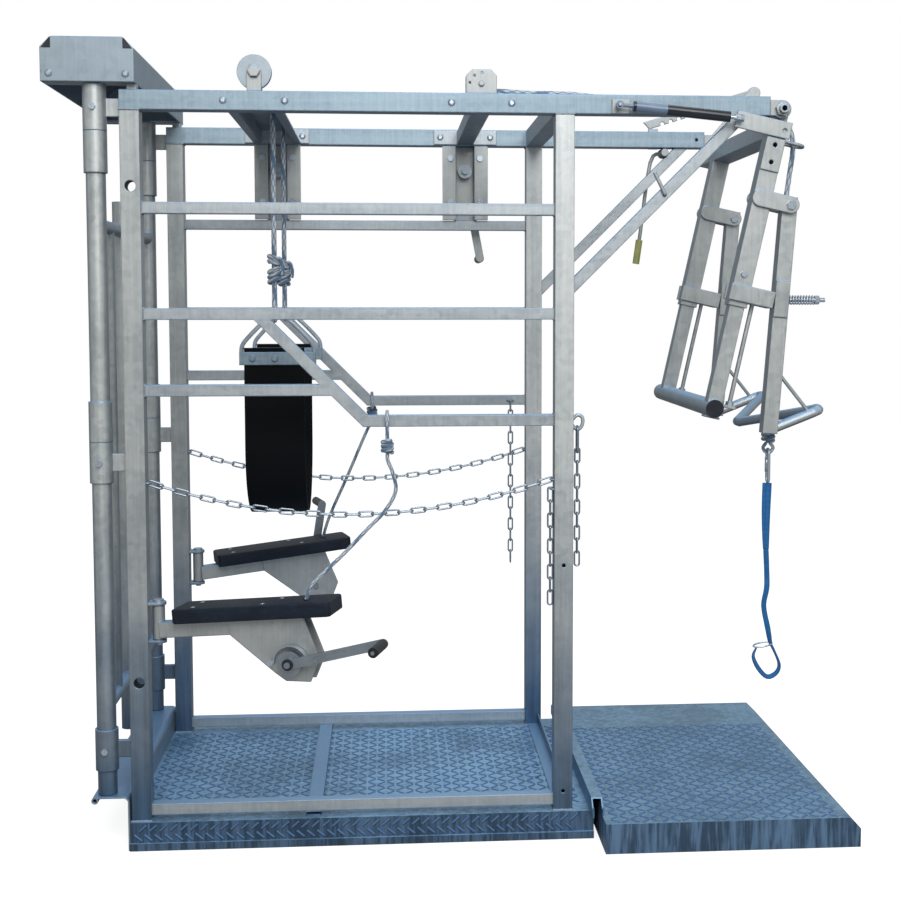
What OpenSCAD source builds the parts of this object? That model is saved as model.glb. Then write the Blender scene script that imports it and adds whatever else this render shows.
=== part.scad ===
// Hoof trimming chute: a galvanised tube crate on a tread plate base, with a head gate, a belly belt,
// front leg rests with rope winches, side chains and a tilting hind leg frame.
// X runs along the crate to the rear, Y across it to the far side, Z up from the ground.

/* [Crate] */
// Side of the square main tube
tube = 50; // [49:1:52]
// Wall of the main tube
tube_t = 3; // [2:0.5:4]
// Length over the posts
frame_l = 1165; // [1150:5:1200]
// Width over the posts
frame_w = 840; // [830:5:870]
// Height of the top rails above the floor
frame_h = 1900; // [1890:5:1940]
// Length of the top rails behind the rear posts
rail_over = 517; // [510:1:530]
// Side of the square guard rail
rail = 30; // [28:1:32]
// Wall of the guard rail
rail_t = 2; // [1.5:0.5:3]
// Top of the upper guard rail above the floor
rail1_z = 1618; // [1600:2:1630]
// Top of the middle guard rail above the floor
rail2_z = 1346; // [1340:2:1360]
// Top of the short front rail above the floor
rail3_z = 1148; // [1140:2:1160]
// Top of the low rear rail above the floor
rail4_z = 1066; // [1060:2:1080]
// Left end of the slanting rail under the middle rail, from the crate centre
slant_x = -251; // [-260:1:-240]

/* [Base] */
// Height of the floor above the ground
floor_h = 75; // [70:1:90]
// Thickness of the tread plate
sheet = 4; // [3:0.5:5]
// Length of the floor behind the rear posts
floor_over = 57; // [50:1:60]
// Width of the rear platform
plat_w = 1100; // [1080:5:1140]
// Length of the rear platform with its nose
plat_l = 680; // [660:5:720]
// Height of the platform ridge over the floor
ridge_h = 45; // [40:1:55]

/* [Head gate] */
// Radius of the gate hinge tube
gate_r = 25; // [24:0.5:26]
// Distance of the hinge tube from the front posts
gate_gap = 65; // [62:1:75]
// Width of the cover box
cover_w = 232; // [225:1:250]
// Height of the cover box
cover_h = 112; // [105:1:125]
// Length of the cover box
cover_l = 880; // [870:5:900]
// Length of the gate lever grip
gate_grip_l = 115; // [100:1:120]

/* [Winches] */
// Place of the belly winch along the crate
belly_x = -243; // [-250:1:-235]
// Place of the hind winch along the crate
hind_x = 340; // [330:1:350]
// Width of the winch hangers
hanger_w = 142; // [136:1:150]
// Gap between the winch hangers and the upper rails
hanger_gap = 1; // [0.5:0.5:6]
// Length of the hind winch crank
hind_crank_l = 275; // [250:1:290]
// Rope diameter
rope_d = 14; // [12:1:15]

/* [Belly belt] */
// Width of the belt along the crate
belt_w = 182; // [170:1:190]
// Thickness of the belt
belt_t = 12; // [12:0.5:14]
// Radius of the belt bottom to the middle of the rubber
belt_r = 195; // [185:1:205]
// Straight height of the belt sides
belt_side = 252; // [240:1:260]
// Top of the belt above the floor
belt_z = 1237; // [1230:1:1242]

/* [Leg rests] */
// Height of the rest hinges above the floor
rest_z = 506; // [495:1:520]
// Outward swing of the rests as they stand
rest_yaw = 15; // [10:1:20]
// Upward slope of the rests
rest_inc = 5; // [4:0.5:6]
// Length of the rest pads
pad_l = 428; // [415:1:435]
// Width of the rest pads
pad_w = 120; // [112:1:124]
// Thickness of the rest pads
pad_t = 38; // [34:1:42]
// Length of the rest cranks
rest_crank_l = 258; // [240:1:265]

/* [Hind frame] */
// Slope of the hind frame as it stands
tilt_a = 12.5; // [10:0.5:14]
// Length of the outer hind legs below the pivot
leg_l = 529; // [520:1:540]
// Distance of the hock bar below the pivot
hock_z = 806; // [795:1:820]
// Side of the inner hind legs
leg_in = 40; // [39:0.5:40.5]
// Radius of the hock bar
hock_r = 24; // [22:0.5:25]
// Middle of the far hind leg across the crate
leg_far_y = 220; // [205:1:235]
// Slope of the hoof frame against the hind frame
hoof_a = 8.2; // [7.6:0.1:9]
// Length of the hoof legs below their bolt
hoof_l = 607; // [600:1:620]
// Radius of the hoof loop tube
loop_r = 13.4; // [12:0.2:14]

/* [Chains] */
// Wire diameter of the chain links
link_d = 5; // [4.6:0.1:5.2]
// Inner length of the chain links
link_l = 35; // [33:0.5:36]

/* [Hidden] */
$fn = 48;
over = 2;

// Places that several pieces share
hx = frame_l / 2;
hy = frame_w / 2;
zf = floor_h;
zt = zf + frame_h;
zu = zt - tube;
xc = hx - tube / 2;
yc = hy - tube / 2;
xi = hx - tube;
yi = hy - tube;
xe = hx + rail_over;
zr1 = zf + rail1_z - rail / 2;
zr2 = zf + rail2_z - rail / 2;
zr3 = zf + rail3_z - rail / 2;
zr4 = zf + rail4_z - rail / 2;
r2 = sqrt(2);
half = 0.5;

// Colours of the finishes
zinc = [0.72, 0.77, 0.82];
dark_zinc = [0.45, 0.52, 0.6];
steel = [0.8, 0.82, 0.84];
black = [0.06, 0.07, 0.09];
lime = [0.68, 0.66, 0.25];
cord_white = [0.82, 0.84, 0.86];
strap_blue = [0.02, 0.4, 0.78];

// Box between two corners
module slab(a, b) {
    translate(a)
        cube(b - a);
}

// Rods and discs along the three axes, from the first to the second place
module rod_x(x0, x1, y, z, r) {
    translate([x0, y, z])
        rotate([0, 90, 0])
            cylinder(h = x1 - x0, r = r);
}
module rod_y(y0, y1, x, z, r) {
    translate([x, y1, z])
        rotate([90, 0, 0])
            cylinder(h = y1 - y0, r = r);
}
module rod_z(z0, z1, x, y, r) {
    translate([x, y, z0])
        cylinder(h = z1 - z0, r = r);
}

// Rod with round ends between two points
module rod_to(a, b, r) {
    d = b - a;
    translate(a)
        rotate([0, acos(d[2] / norm(d)), atan2(d[1], d[0])])
            cylinder(h = norm(d), r = r);
}
module bent_rod(pts, r) {
    union() {
        for (i = [0:len(pts) - 2])
            rod_to(pts[i], pts[i + 1], r);
        for (i = [1:len(pts) - 2])
            translate(pts[i])
                sphere(r = r);
    }
}

// Hollow rectangular tubes along the three axes
module tube_x(x0, x1, y, z, w, h, t) {
    difference() {
        slab([x0, y - w / 2, z - h / 2], [x1, y + w / 2, z + h / 2]);
        slab([x0 - over, y - w / 2 + t, z - h / 2 + t], [x1 + over, y + w / 2 - t, z + h / 2 - t]);
    }
}
module tube_y(y0, y1, x, z, w, h, t) {
    difference() {
        slab([x - w / 2, y0, z - h / 2], [x + w / 2, y1, z + h / 2]);
        slab([x - w / 2 + t, y0 - over, z - h / 2 + t], [x + w / 2 - t, y1 + over, z + h / 2 - t]);
    }
}
module tube_z(z0, z1, x, y, w, d, t) {
    difference() {
        slab([x - w / 2, y - d / 2, z0], [x + w / 2, y + d / 2, z1]);
        slab([x - w / 2 + t, y - d / 2 + t, z0 - over], [x + w / 2 - t, y + d / 2 - t, z1 + over]);
    }
}

// Outline in X and Z drawn out along Y, and outline in Y and Z drawn out along X
module along_y(y0, y1) {
    translate([0, y1, 0])
        rotate([90, 0, 0])
            linear_extrude(height = y1 - y0)
                children();
}
module along_x(x0, x1) {
    translate([x0, 0, 0])
        rotate([90, 0, 90])
            linear_extrude(height = x1 - x0)
                children();
}

// Hexagon head or nut along Y
module hex_y(y0, y1, x, z, r) {
    translate([x, y1, z])
        rotate([90, 0, 0])
            cylinder(h = y1 - y0, r = r, $fn = 6);
}

// Tube of round section along a list of places, with n sides
function unit(v) = v / norm(v);
function run(q, i) = unit(q[min(i + 1, len(q) - 1)] - q[max(i - 1, 0)]);
function side_of(t, ref) = unit(cross(t, ref));
function ring_at(p, t, ref, r, n) =
    let (u = side_of(t, ref), v = cross(t, u))
    [for (k = [0:n - 1]) p + r * cos(360 * k / n) * u + r * sin(360 * k / n) * v];

module swept(q, r, n, ref) {
    m = len(q);
    pts = [for (i = [0:m - 1]) each ring_at(q[i], run(q, i), ref, r, n)];
    sides = [for (i = [0:m - 2]) for (k = [0:n - 1]) each [
        [i * n + k, (i + 1) * n + k, (i + 1) * n + (k + 1) % n],
        [i * n + k, (i + 1) * n + (k + 1) % n, i * n + (k + 1) % n]]];
    polyhedron(points = pts, convexity = 8,
        faces = concat([[for (k = [0:n - 1]) k]], sides, [[for (k = [n - 1:-1:0]) (m - 1) * n + k]]));
}

// Smooth curve through a list of places, with k steps between neighbours
function bow(a, b, c, d, t) = (2 * b + (c - a) * t + (2 * a - 5 * b + 4 * c - d) * t * t
    + (3 * b - a - 3 * c + d) * t * t * t) / 2;
function smooth(p, k) = concat([for (i = [0:len(p) - 2]) for (j = [0:k - 1])
    bow(p[max(i - 1, 0)], p[i], p[i + 1], p[min(i + 2, len(p) - 1)], j / k)], [p[len(p) - 1]]);

// Near and far pieces are mirror images
module pair_y() {
    children();
    mirror([0, 1, 0])
        children();
}

// Base

skirt_over = 10;
gate_wrap = 4;
floor_x0 = -hx - gate_wrap;
floor_x1 = hx + floor_over;
floor_y = hy + skirt_over;
band_h = 20;
band_t = 5;
sill_hole_r = 6;
sill_holes_x = [529, 515];
sill_holes_y = [-41, -148];
bearer_w = 40;
bearer_in = 82.5;
bearer_x = hx - bearer_in;

module floor_plate() {
    color(dark_zinc)
        difference() {
            union() {
                slab([floor_x0, -floor_y, zf - sheet], [floor_x1, floor_y, zf]);
                for (s = [-1, 1]) {
                    slab([floor_x0, min(s * floor_y, s * (floor_y - sheet)), 0],
                        [floor_x1, max(s * floor_y, s * (floor_y - sheet)), zf]);
                    slab([floor_x0, min(s * floor_y, s * (floor_y + band_t)), 0],
                        [floor_x1, max(s * floor_y, s * (floor_y + band_t)), band_h]);
                }
            }
            for (i = [0:len(sill_holes_x) - 1])
                rod_z(zf - sheet - over, zf + over, sill_holes_x[i], sill_holes_y[i], sill_hole_r);
        }
}

module floor_bearers() {
    color(dark_zinc)
        for (x = [-bearer_x, 0, bearer_x])
            tube_y(-floor_y + sheet, floor_y - sheet, x, (zf - sheet) / 2, bearer_w, zf - sheet, tube_t);
}

// Posts and rails

post_hole_r = 14;
post_hole_top = 1657;
post_hole_low = 369;
pin_hole_r = 5;
pin_hole_top = 664;
pin_hole_low = 52;

// Lugs for the leg rests stand on the rear faces of the front posts
rest_out = 25;
rest_x = -xi + rest_out;
rest_pin_r = 8;
rest_pin_over = 6;
lug_t = 8;
lug_half = 20;
lug_low = -34;
lug_high = 66;

module rest_lug(z) {
    difference() {
        union() {
            slab([-xi, -yc - lug_half, z], [rest_x, -yc + lug_half, z + lug_t]);
            rod_z(z, z + lug_t, rest_x, -yc, lug_half);
        }
        rod_z(z - over, z + lug_t + over, rest_x, -yc, rest_pin_r);
    }
}

module front_posts() {
    color(zinc)
        difference() {
            pair_y() {
                tube_z(zf, zu, -xc, -yc, tube, tube, tube_t);
                for (z = [lug_low, lug_high])
                    rest_lug(zf + rest_z + z);
                staple(-xi, 1, -yc, chain_z);
            }
            for (z = [post_hole_low, post_hole_top])
                rod_y(-hy - over, -yi + over, -xc, zf + z, post_hole_r);
        }
}

module rest_pins() {
    color(steel)
        pair_y()
            union() {
                rod_z(zf + rest_z + lug_low - rest_pin_over, zf + rest_z + lug_high + lug_t, rest_x, -yc, rest_pin_r);
                rod_z(zf + rest_z + lug_high + lug_t, zf + rest_z + lug_high + lug_t + rest_pin_over, rest_x, -yc,
                    rest_pin_r * 2 - over);
            }
}

module rear_posts() {
    color(zinc)
        difference() {
            union() {
                pair_y() {
                    tube_z(zf, zu, xc, -yc, tube, tube, tube_t);
                    staple(xi, -1, -yc, chain_z);
                }
                staple(xi, -1, -yc, chain_z - tail_drop);
                swept(smooth([[hx - tube_t / 2, -yc, zf + eye_z], [hx + eye_r, -yc, zf + eye_z + eye_r],
                    [hx + eye_r * 2, -yc, zf + eye_z + eye_r * half], [hx + eye_r * 2, -yc, zf + eye_z - eye_r],
                    [hx + eye_r, -yc, zf + eye_z - eye_r * 2], [hx - tube_t / 2, -yc, zf + eye_z - eye_r]], 3),
                    eye_wire, rope_sides, [0, 1, 0]);
            }
            for (z = [pin_hole_low, pin_hole_top])
                rod_y(-hy - over, -hy + tube_t + over, xc, zf + z, pin_hole_r);
        }
}

module top_rails() {
    color(zinc)
        difference() {
            pair_y()
                tube_x(-hx, xe, -yc, zt - tube / 2, tube, tube, tube_t);
            rod_y(yi - over, yi + tube_t + over, xe - tube / 2, zt - tube / 2, pin_hole_r);
        }
}

// The slanting rail falls at 45 degrees from the middle rail and bends into the low rear rail
slant_top = zr2 - rail / 2;
low_top = zr4 + rail / 2;
bend = rail * tan(22.5);
slant_x1 = slant_x + rail * r2;
knee_x1 = slant_x1 + slant_top - low_top;
knee_x0 = knee_x1 - bend;

// Outlines of the bent and the short rail, inset by t, with ends that run on by e
module bent_rail(t, e) {
    k = t * tan(22.5);
    polygon([[slant_x + t * r2 - e, slant_top + e], [slant_x1 - t * r2 - e, slant_top + e],
        [knee_x1 - k, low_top - t], [xi + e, low_top - t], [xi + e, low_top - rail + t],
        [knee_x0 + k, low_top - rail + t]]);
}
module short_rail(t, e) {
    z1 = zr3 + rail / 2 - t;
    z0 = zr3 - rail / 2 + t;
    polygon([[-xi - e, z0], [-xi - e, z1], [slant_x + slant_top - z1 + e, z1],
        [slant_x + slant_top - z0 + e, z0]]);
}

module guard_rails() {
    color(zinc) {
        translate([far_x, yc - rail / 2, zr4])
            rotate([0, 0, 180])
                half_ring();
        pair_y() {
            for (z = [zr1, zr2, zf + bar_h + rail / 2])
                tube_x(-xi, xi, -yc, z, rail, rail, rail_t);
            difference() {
                along_y(-yc - rail / 2, -yc + rail / 2)
                    bent_rail(0, 0);
                along_y(-yc - rail / 2 + rail_t, -yc + rail / 2 - rail_t)
                    bent_rail(rail_t, over);
            }
            difference() {
                along_y(-yc - rail / 2, -yc + rail / 2)
                    short_rail(0, 0);
                along_y(-yc - rail / 2 + rail_t, -yc + rail / 2 - rail_t)
                    short_rail(rail_t, over);
            }
        }
    }
}

bar_w = 40;
bar_h = 12;
bar_t = 2;
bar_x = -108;
bar_end = 8;
sill_w = 36;
sill_h = 34;
sill_t = 4;

// The top cross tube and the floor sill between the rear posts, and the flat tube across the floor
module cross_members() {
    color(zinc) {
        tube_y(-hy + bar_end, hy - bar_end, bar_x, zf + bar_h / 2, bar_w, bar_h, bar_t);
        tube_y(-yi, yi, xc, zt - tube / 2, tube, tube, tube_t);
        along_y(-yi, yi)
            polygon([[xc - sill_w / 2, zf], [xc + sill_w / 2, zf], [xc + sill_w / 2, zf + sill_h],
                [xc + sill_w / 2 - sill_t, zf + sill_h], [xc + sill_w / 2 - sill_t, zf + sill_t],
                [xc - sill_w / 2, zf + sill_t]]);
    }
}

brace_z = 1384;
peg_r = 5;
peg_x = 822;
peg_base = 6;
peg_l = 56;

module brace_outline(t, e) {
    z0 = zf + brace_z + t * r2;
    z1 = zf + brace_z + (rail - t) * r2;
    polygon([[hx - e, z0 - e], [hx - e, z1 - e], [hx + zu - z1 + e, zu + e], [hx + zu - z0 + e, zu + e]]);
}

module braces() {
    peg_z = zf + brace_z + peg_x - hx + rail / 2 * r2;
    color(zinc) {
        pair_y()
            difference() {
                along_y(-yc - rail / 2, -yc + rail / 2)
                    brace_outline(0, 0);
                along_y(-yc - rail / 2 + rail_t, -yc + rail / 2 - rail_t)
                    brace_outline(rail_t, over);
            }
        bent_rod([[peg_x, -yc - rail / 2, peg_z], [peg_x, -yc - rail / 2 - peg_base, peg_z],
            [peg_x - peg_l * half, -yc - rail / 2 - peg_base, peg_z + peg_l]], peg_r);
    }
}

// Rear platform

plat_rise = 5;
plat_gap = 15;
nose = 30;
ridge_w = 30;
ridge_end = 60;
ridge_cut = 60;

module plat_outline(t) {
    x0 = floor_x1 + plat_gap;
    x1 = x0 + plat_l;
    z = zf + plat_rise;
    polygon([[x0 + t, 0], [x0 + t, z - t], [x1 - nose - t * half, z - t], [x1 - t, z - nose - t * half],
        [x1 - t, 0]]);
}

module platform() {
    x0 = floor_x1 + plat_gap;
    z = zf + plat_rise;
    rt = zf + ridge_h;
    ry = plat_w / 2 - ridge_end;
    color(dark_zinc)
        union() {
            difference() {
                along_y(-plat_w / 2, plat_w / 2)
                    plat_outline(0);
                translate([0, 0, -over])
                    along_y(-plat_w / 2 + sheet, plat_w / 2 - sheet)
                        plat_outline(sheet);
            }
            difference() {
                along_y(-ry, ry)
                    polygon([[x0 + sheet, z - sheet], [x0 + sheet, rt], [x0 + sheet - ridge_w, rt],
                        [x0 + sheet - ridge_w, zf], [x0 + sheet * 2 - ridge_w, zf],
                        [x0 + sheet * 2 - ridge_w, rt - sheet], [x0, rt - sheet], [x0, z - sheet]]);
                for (s = [-1, 1])
                    translate([x0 - ridge_w - over, s * ry, rt + plat_rise])
                        rotate([s * 45, 0, 0])
                            translate([0, -ridge_cut / 2, -ridge_cut * half * half])
                                cube([ridge_w * 2, ridge_cut, ridge_cut]);
            }
        }
}

// Head gate

gate_x = -hx - gate_gap;
cover_t = 3;
cover_rise = 15;
cover_shift = 8;
cover_ch = 27;
cover_x0 = gate_x - cover_shift - cover_w / 2;
cover_x1 = cover_x0 + cover_w;
cover_z0 = zt + cover_rise;
cover_z1 = cover_z0 + cover_h;

module cover_outline(t, drop) {
    k = t * tan(22.5);
    polygon([[cover_x0 + t, cover_z0 - drop], [cover_x0 + t, cover_z1 - cover_ch - k],
        [cover_x0 + cover_ch + k, cover_z1 - t], [cover_x1 - cover_ch - k, cover_z1 - t],
        [cover_x1 - t, cover_z1 - cover_ch - k], [cover_x1 - t, cover_z0 - drop]]);
}

module cover_box() {
    color(zinc)
        difference() {
            along_y(-cover_l / 2, cover_l / 2)
                cover_outline(0, 0);
            along_y(-cover_l / 2 + cover_t, cover_l / 2 - cover_t)
                cover_outline(cover_t, over);
        }
}

// The foot is one folded sheet: a rolled front lip, a shelf and a plate down to the ground
shelf_z = 70;
shelf_l = 98;
shelf_bend = 16;
lip_r = 9;

module gate_foot() {
    z = zf + shelf_z;
    x1 = floor_x0;
    x0 = x1 - shelf_l;
    color(zinc)
        along_y(-floor_y, floor_y)
            union() {
                polygon([[x1 - sheet, 0], [x1, 0], [x1, z - shelf_bend], [x1 - sheet, z - shelf_bend]]);
                polygon([[x0 + lip_r, z - sheet], [x1 - shelf_bend, z - sheet], [x1 - shelf_bend, z],
                    [x0 + lip_r, z]]);
                intersection() {
                    translate([x1 - shelf_bend, z - shelf_bend])
                        difference() {
                            circle(r = shelf_bend);
                            circle(r = shelf_bend - sheet);
                        }
                    translate([x1 - shelf_bend, z - shelf_bend])
                        square([shelf_bend, shelf_bend]);
                }
                difference() {
                    translate([x0 + lip_r, z - lip_r])
                        circle(r = lip_r);
                    translate([x0 + lip_r, z - lip_r])
                        circle(r = lip_r - sheet);
                }
            }
}

// Hinge housings on the front posts, low end, high end and clear height of the fixed sleeves
gate_t = 3;
gate_fit = 0.4;
sleeve_t = 5;
fixed_low = [136, 894, 1797];
fixed_high = [245, 1000, 1915];
collar_low = [1000, 1690];
collar_high = [1106, 1797];
tie_h = 46;
tie_t = 10;
stay_w = 40;
stay_t = 5;
riser_l = 25;
lever_pin_r = 8;
lever_pin_l = 18;
lever_z = 1870;

module gate_brackets() {
    color(zinc) {
        pair_y() {
            for (i = [0:len(fixed_low) - 1]) {
                zm = zf + (fixed_low[i] + fixed_high[i]) / 2;
                difference() {
                    union() {
                        rod_z(zf + fixed_low[i], zf + fixed_high[i], gate_x, -yc, gate_r + sleeve_t);
                        slab([gate_x, -yc - tie_t / 2, zm - tie_h / 2], [-hx, -yc + tie_t / 2, zm + tie_h / 2]);
                    }
                    rod_z(zf, zt + cover_h, gate_x, -yc, gate_r + gate_fit);
                }
            }
            slab([cover_x0 + cover_t, -yc - stay_w / 2, cover_z0],
                [cover_x1 - cover_t, -yc + stay_w / 2, cover_z0 + stay_t]);
            slab([cover_x1 - riser_l, -yc - rail / 2, zt], [cover_x1, -yc + rail / 2, cover_z0]);
        }
        rod_y(hy, hy + lever_pin_l, -xc, zf + lever_z, lever_pin_r);
    }
}

// Each leaf is a hinge tube with collars, two arms, a neck bar and a guard bar
leaf_top = 1912;
collar_gap = 0.6;
neck_y = 70;
neck_r = 21;
guard_y = 230;
guard_r = 13;
arm_r = 17;
arm_z = [300, 1560];
bar_low = 150;
bar_high = 1640;

module gate_leaf() {
    difference() {
        union() {
            rod_z(zf + shelf_z + collar_gap, zf + leaf_top, gate_x, -yc, gate_r);
            for (i = [0, 1])
                rod_z(zf + collar_low[i] + collar_gap, zf + collar_high[i] - collar_gap, gate_x, -yc,
                    gate_r + sleeve_t);
            for (z = arm_z)
                rod_y(-yc, -neck_y, gate_x, zf + z, arm_r);
            rod_z(zf + bar_low, zf + bar_high, gate_x, -neck_y, neck_r);
            rod_z(zf + arm_z[0], zf + arm_z[1], gate_x, -guard_y, guard_r);
        }
        rod_z(zf, zt + cover_h, gate_x, -yc, gate_r - gate_t);
    }
}

module gate_leaf_near() {
    color(zinc)
        gate_leaf();
}

module gate_leaf_far() {
    color(zinc)
        mirror([0, 1, 0])
            gate_leaf();
}

lever_t = 8;
lever_gap = 7;
lever_w = 24;
lever_hub = 18;
lever_x = 10;
lever_l = 73;
grip_r = 14;
grip_rod = 8;

grip_y = hy + lever_gap + lever_t;
grip_x = -xc + lever_x - lever_t;

module gate_lever() {
    z = zf + lever_z;
    y0 = hy + lever_gap;
    color(zinc)
        difference() {
            union() {
                rod_y(y0, y0 + lever_t, -xc, z, lever_hub);
                slab([-xc - lever_w / 2, y0, z - lever_l], [-xc + lever_w / 2, y0 + lever_t, z]);
                rod_z(z - lever_l - gate_grip_l, z - lever_l * half, grip_x, grip_y, grip_rod / 2);
            }
            rod_y(y0 - over, y0 + lever_t * 2, -xc, z, lever_pin_r + gate_fit);
        }
}

module gate_grip() {
    z = zf + lever_z - lever_l;
    color(lime)
        difference() {
            rod_z(z - gate_grip_l, z, grip_x, grip_y, grip_r);
            rod_z(z - gate_grip_l - over, z + over, grip_x, grip_y, grip_rod / 2);
        }
}

// Overhead winches

carrier_open = 96;
carrier_flange = 24;
carrier_t = 4;
carrier_low = 3;
plate_t = 6;
plate_half = 98;
bolt_half = 78;
hind_w = 50;
hind_h = 40;

module hat_outline() {
    x0 = belly_x - carrier_open / 2;
    x1 = belly_x + carrier_open / 2;
    z0 = zu + carrier_low;
    z1 = zt - carrier_low;
    polygon([[x0 - carrier_flange, z0], [x0, z0], [x0, z1 - carrier_t], [x1, z1 - carrier_t], [x1, z0],
        [x1 + carrier_flange, z0], [x1 + carrier_flange, z0 + carrier_t], [x1 + carrier_t, z0 + carrier_t],
        [x1 + carrier_t, z1], [x0 - carrier_t, z1], [x0 - carrier_t, z0 + carrier_t],
        [x0 - carrier_flange, z0 + carrier_t]]);
}

module winch_carriers() {
    color(zinc) {
        along_y(-yi + plate_t, yi - plate_t)
            hat_outline();
        tube_y(-yi + plate_t, yi - plate_t, hind_x, zt - tube / 2, hind_w, hind_h, tube_t);
        pair_y()
            for (x = [belly_x, hind_x])
                slab([x - plate_half, -yi, zu + carrier_low], [x + plate_half, -yi + plate_t, zt - carrier_low]);
    }
}

hanger_l = zu - zr1 - rail / 2 - hanger_gap;
hanger_t = 4;
hanger_deep = 44;
hanger_web = 58;
shaft_r = 10;
shaft_fit = 0.4;
shaft_drop = 128;
shaft_z = zt - shaft_drop;

module hanger_outline() {
    w = hanger_w / 2;
    b = hanger_web / 2;
    y1 = yi + hanger_deep;
    polygon([[-w, yi], [-b, yi], [-b, y1 - hanger_t], [b, y1 - hanger_t], [b, yi], [w, yi], [w, yi + hanger_t],
        [b + hanger_t, yi + hanger_t], [b + hanger_t, y1], [-b - hanger_t, y1],
        [-b - hanger_t, yi + hanger_t], [-w, yi + hanger_t]]);
}

module winch_hangers() {
    color(zinc)
        for (x = [belly_x, hind_x])
            difference() {
                translate([x, 0, zu - hanger_l])
                    linear_extrude(height = hanger_l)
                        hanger_outline();
                rod_y(yi, hy + over, x, shaft_z, shaft_r + shaft_fit);
            }
}

// Rope sheaves on the near rail
sheave_y = yc;
sheave_w = 20;
sheave_gap = 1;
strap_t = 5;
strap_w = 38;
belly_sheave_r = 44;
belly_axle = 50;
hind_sheave_r = 22;
hind_axle = 26;
block_w = 80;
block_h = 62;
block_ch = 16;
axle_r = 7;
axle_fit = 0.3;
nut_r = 16;
nut_h = 9;

module strap_plate(y0) {
    union() {
        slab([belly_x - strap_w / 2, y0, zt], [belly_x + strap_w / 2, y0 + strap_t, zt + belly_axle]);
        rod_y(y0, y0 + strap_t, belly_x, zt + belly_axle, strap_w / 2);
    }
}

module block_plate(y0) {
    w = block_w / 2;
    along_y(y0, y0 + strap_t)
        polygon([[hind_x - w, zt], [hind_x + w, zt], [hind_x + w, zt + block_h - block_ch],
            [hind_x + w - block_ch, zt + block_h], [hind_x - w + block_ch, zt + block_h],
            [hind_x - w, zt + block_h - block_ch]]);
}

index_r = 3;
index_x = [-30, -18, 2];
index_z = [28, 46, 53];

module sheave_brackets() {
    front = -sheave_y - sheave_w / 2 - sheave_gap - strap_t;
    back = -sheave_y + sheave_w / 2 + sheave_gap;
    color(zinc) {
        strap_plate(front);
        strap_plate(back);
        rod_y(front + strap_t, back, belly_x, zt + belly_axle, axle_r);
        hex_y(front - nut_h, front, belly_x, zt + belly_axle, nut_r);
        difference() {
            block_plate(front);
            for (i = [0:len(index_x) - 1])
                rod_y(front - over, front + strap_t + over, hind_x + index_x[i], zt + index_z[i], index_r);
        }
        block_plate(back);
        rod_y(front + strap_t, back, hind_x, zt + hind_axle, axle_r);
        rod_y(front - strap_t, front, hind_x, zt + hind_axle, axle_r);
    }
}

// Grooved sheave on its axle
module sheave(x, z, r) {
    translate([x, -sheave_y, z])
        rotate([90, 0, 0])
            rotate_extrude()
                polygon([[axle_r + axle_fit, -sheave_w / 2], [r, -sheave_w / 2], [r - rope_d / 2, -rope_d / 4],
                    [r - rope_d / 2, rope_d / 4], [r, sheave_w / 2], [axle_r + axle_fit, sheave_w / 2]]);
}

module belly_sheave() {
    color(zinc)
        sheave(belly_x, zt + belly_axle, belly_sheave_r);
}

module hind_sheave() {
    color(zinc)
        sheave(hind_x, zt + hind_axle, hind_sheave_r);
}

head_r = 10;
head_h = 6;
hanger_bolt_x = 46;
hanger_bolt_z = [39, 174];
cover_bolt_x = 95;
cover_bolt_z = 20;
sleeve_bolt_r = 9;
sleeve_bolt_h = 8;

module dome(x, y, z, r, h) {
    translate([x, y, z])
        rotate([90, 0, 0])
            cylinder(h = h, r1 = r, r2 = r * half);
}

// Bolt heads on rails, hangers, cover and hinge sleeves
module frame_bolts() {
    color(steel) {
        for (x = [belly_x, hind_x])
            for (s = [-1, 1]) {
                dome(x + s * bolt_half, -hy, zt - tube / 2, head_r, head_h);
                dome(x + s * bolt_half, yi - plate_t, zt - tube / 2, head_r, head_h);
                for (z = hanger_bolt_z)
                    hex_y(yi - head_h, yi, x + s * hanger_bolt_x, zu - z, head_r);
            }
        for (s = [-1, 1])
            dome(cover_x0 + cover_w / 2 + s * cover_bolt_x, -cover_l / 2, cover_z0 + cover_bolt_z, head_r, head_h);
        for (i = [0:len(fixed_low) - 1])
            hex_y(-yc - gate_r - sleeve_t - sleeve_bolt_h, -yc - gate_r - sleeve_t, gate_x,
                zf + (fixed_low[i] + fixed_high[i]) / 2, sleeve_bolt_r);
    }
}

drum_r = 22;
drum_y0 = yi + hanger_t * 2;
drum_y1 = yi + hanger_deep - hanger_t * 2;
shaft_front = 4;
shaft_back = 36;
crank_t = 8;

module winch_drum(x) {
    union() {
        rod_y(yi - shaft_front, hy + shaft_back, x, shaft_z, shaft_r);
        rod_y(drum_y0, drum_y1, x, shaft_z, drum_r);
    }
}

module belly_winch() {
    color(steel)
        winch_drum(belly_x);
}

module hind_winch() {
    color(steel)
        winch_drum(hind_x);
}

hind_crank_a = 10.7;
crank_w = 25;
crank_hub = 18;
knob_r = 13;
knob_l = 92;
knob_pin = 5;
knob_fit = 0.4;

// Flat crank arm hanging from the origin along -Z, grip pin along +Y
module crank_arm(l, y0) {
    union() {
        rod_y(y0, y0 + crank_t, 0, 0, crank_hub);
        slab([-crank_w / 2, y0, -l], [crank_w / 2, y0 + crank_t, 0]);
        rod_y(y0, y0 + crank_t, 0, -l, crank_w / 2);
        rod_y(y0, y0 + crank_t + knob_l + knob_pin, 0, -l, knob_pin);
    }
}

module crank_knob(l, y0) {
    difference() {
        rod_y(y0 + crank_t + knob_fit, y0 + crank_t + knob_l, 0, -l, knob_r);
        rod_y(y0, y0 + crank_t + knob_l + over, 0, -l, knob_pin + knob_fit);
    }
}

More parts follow.
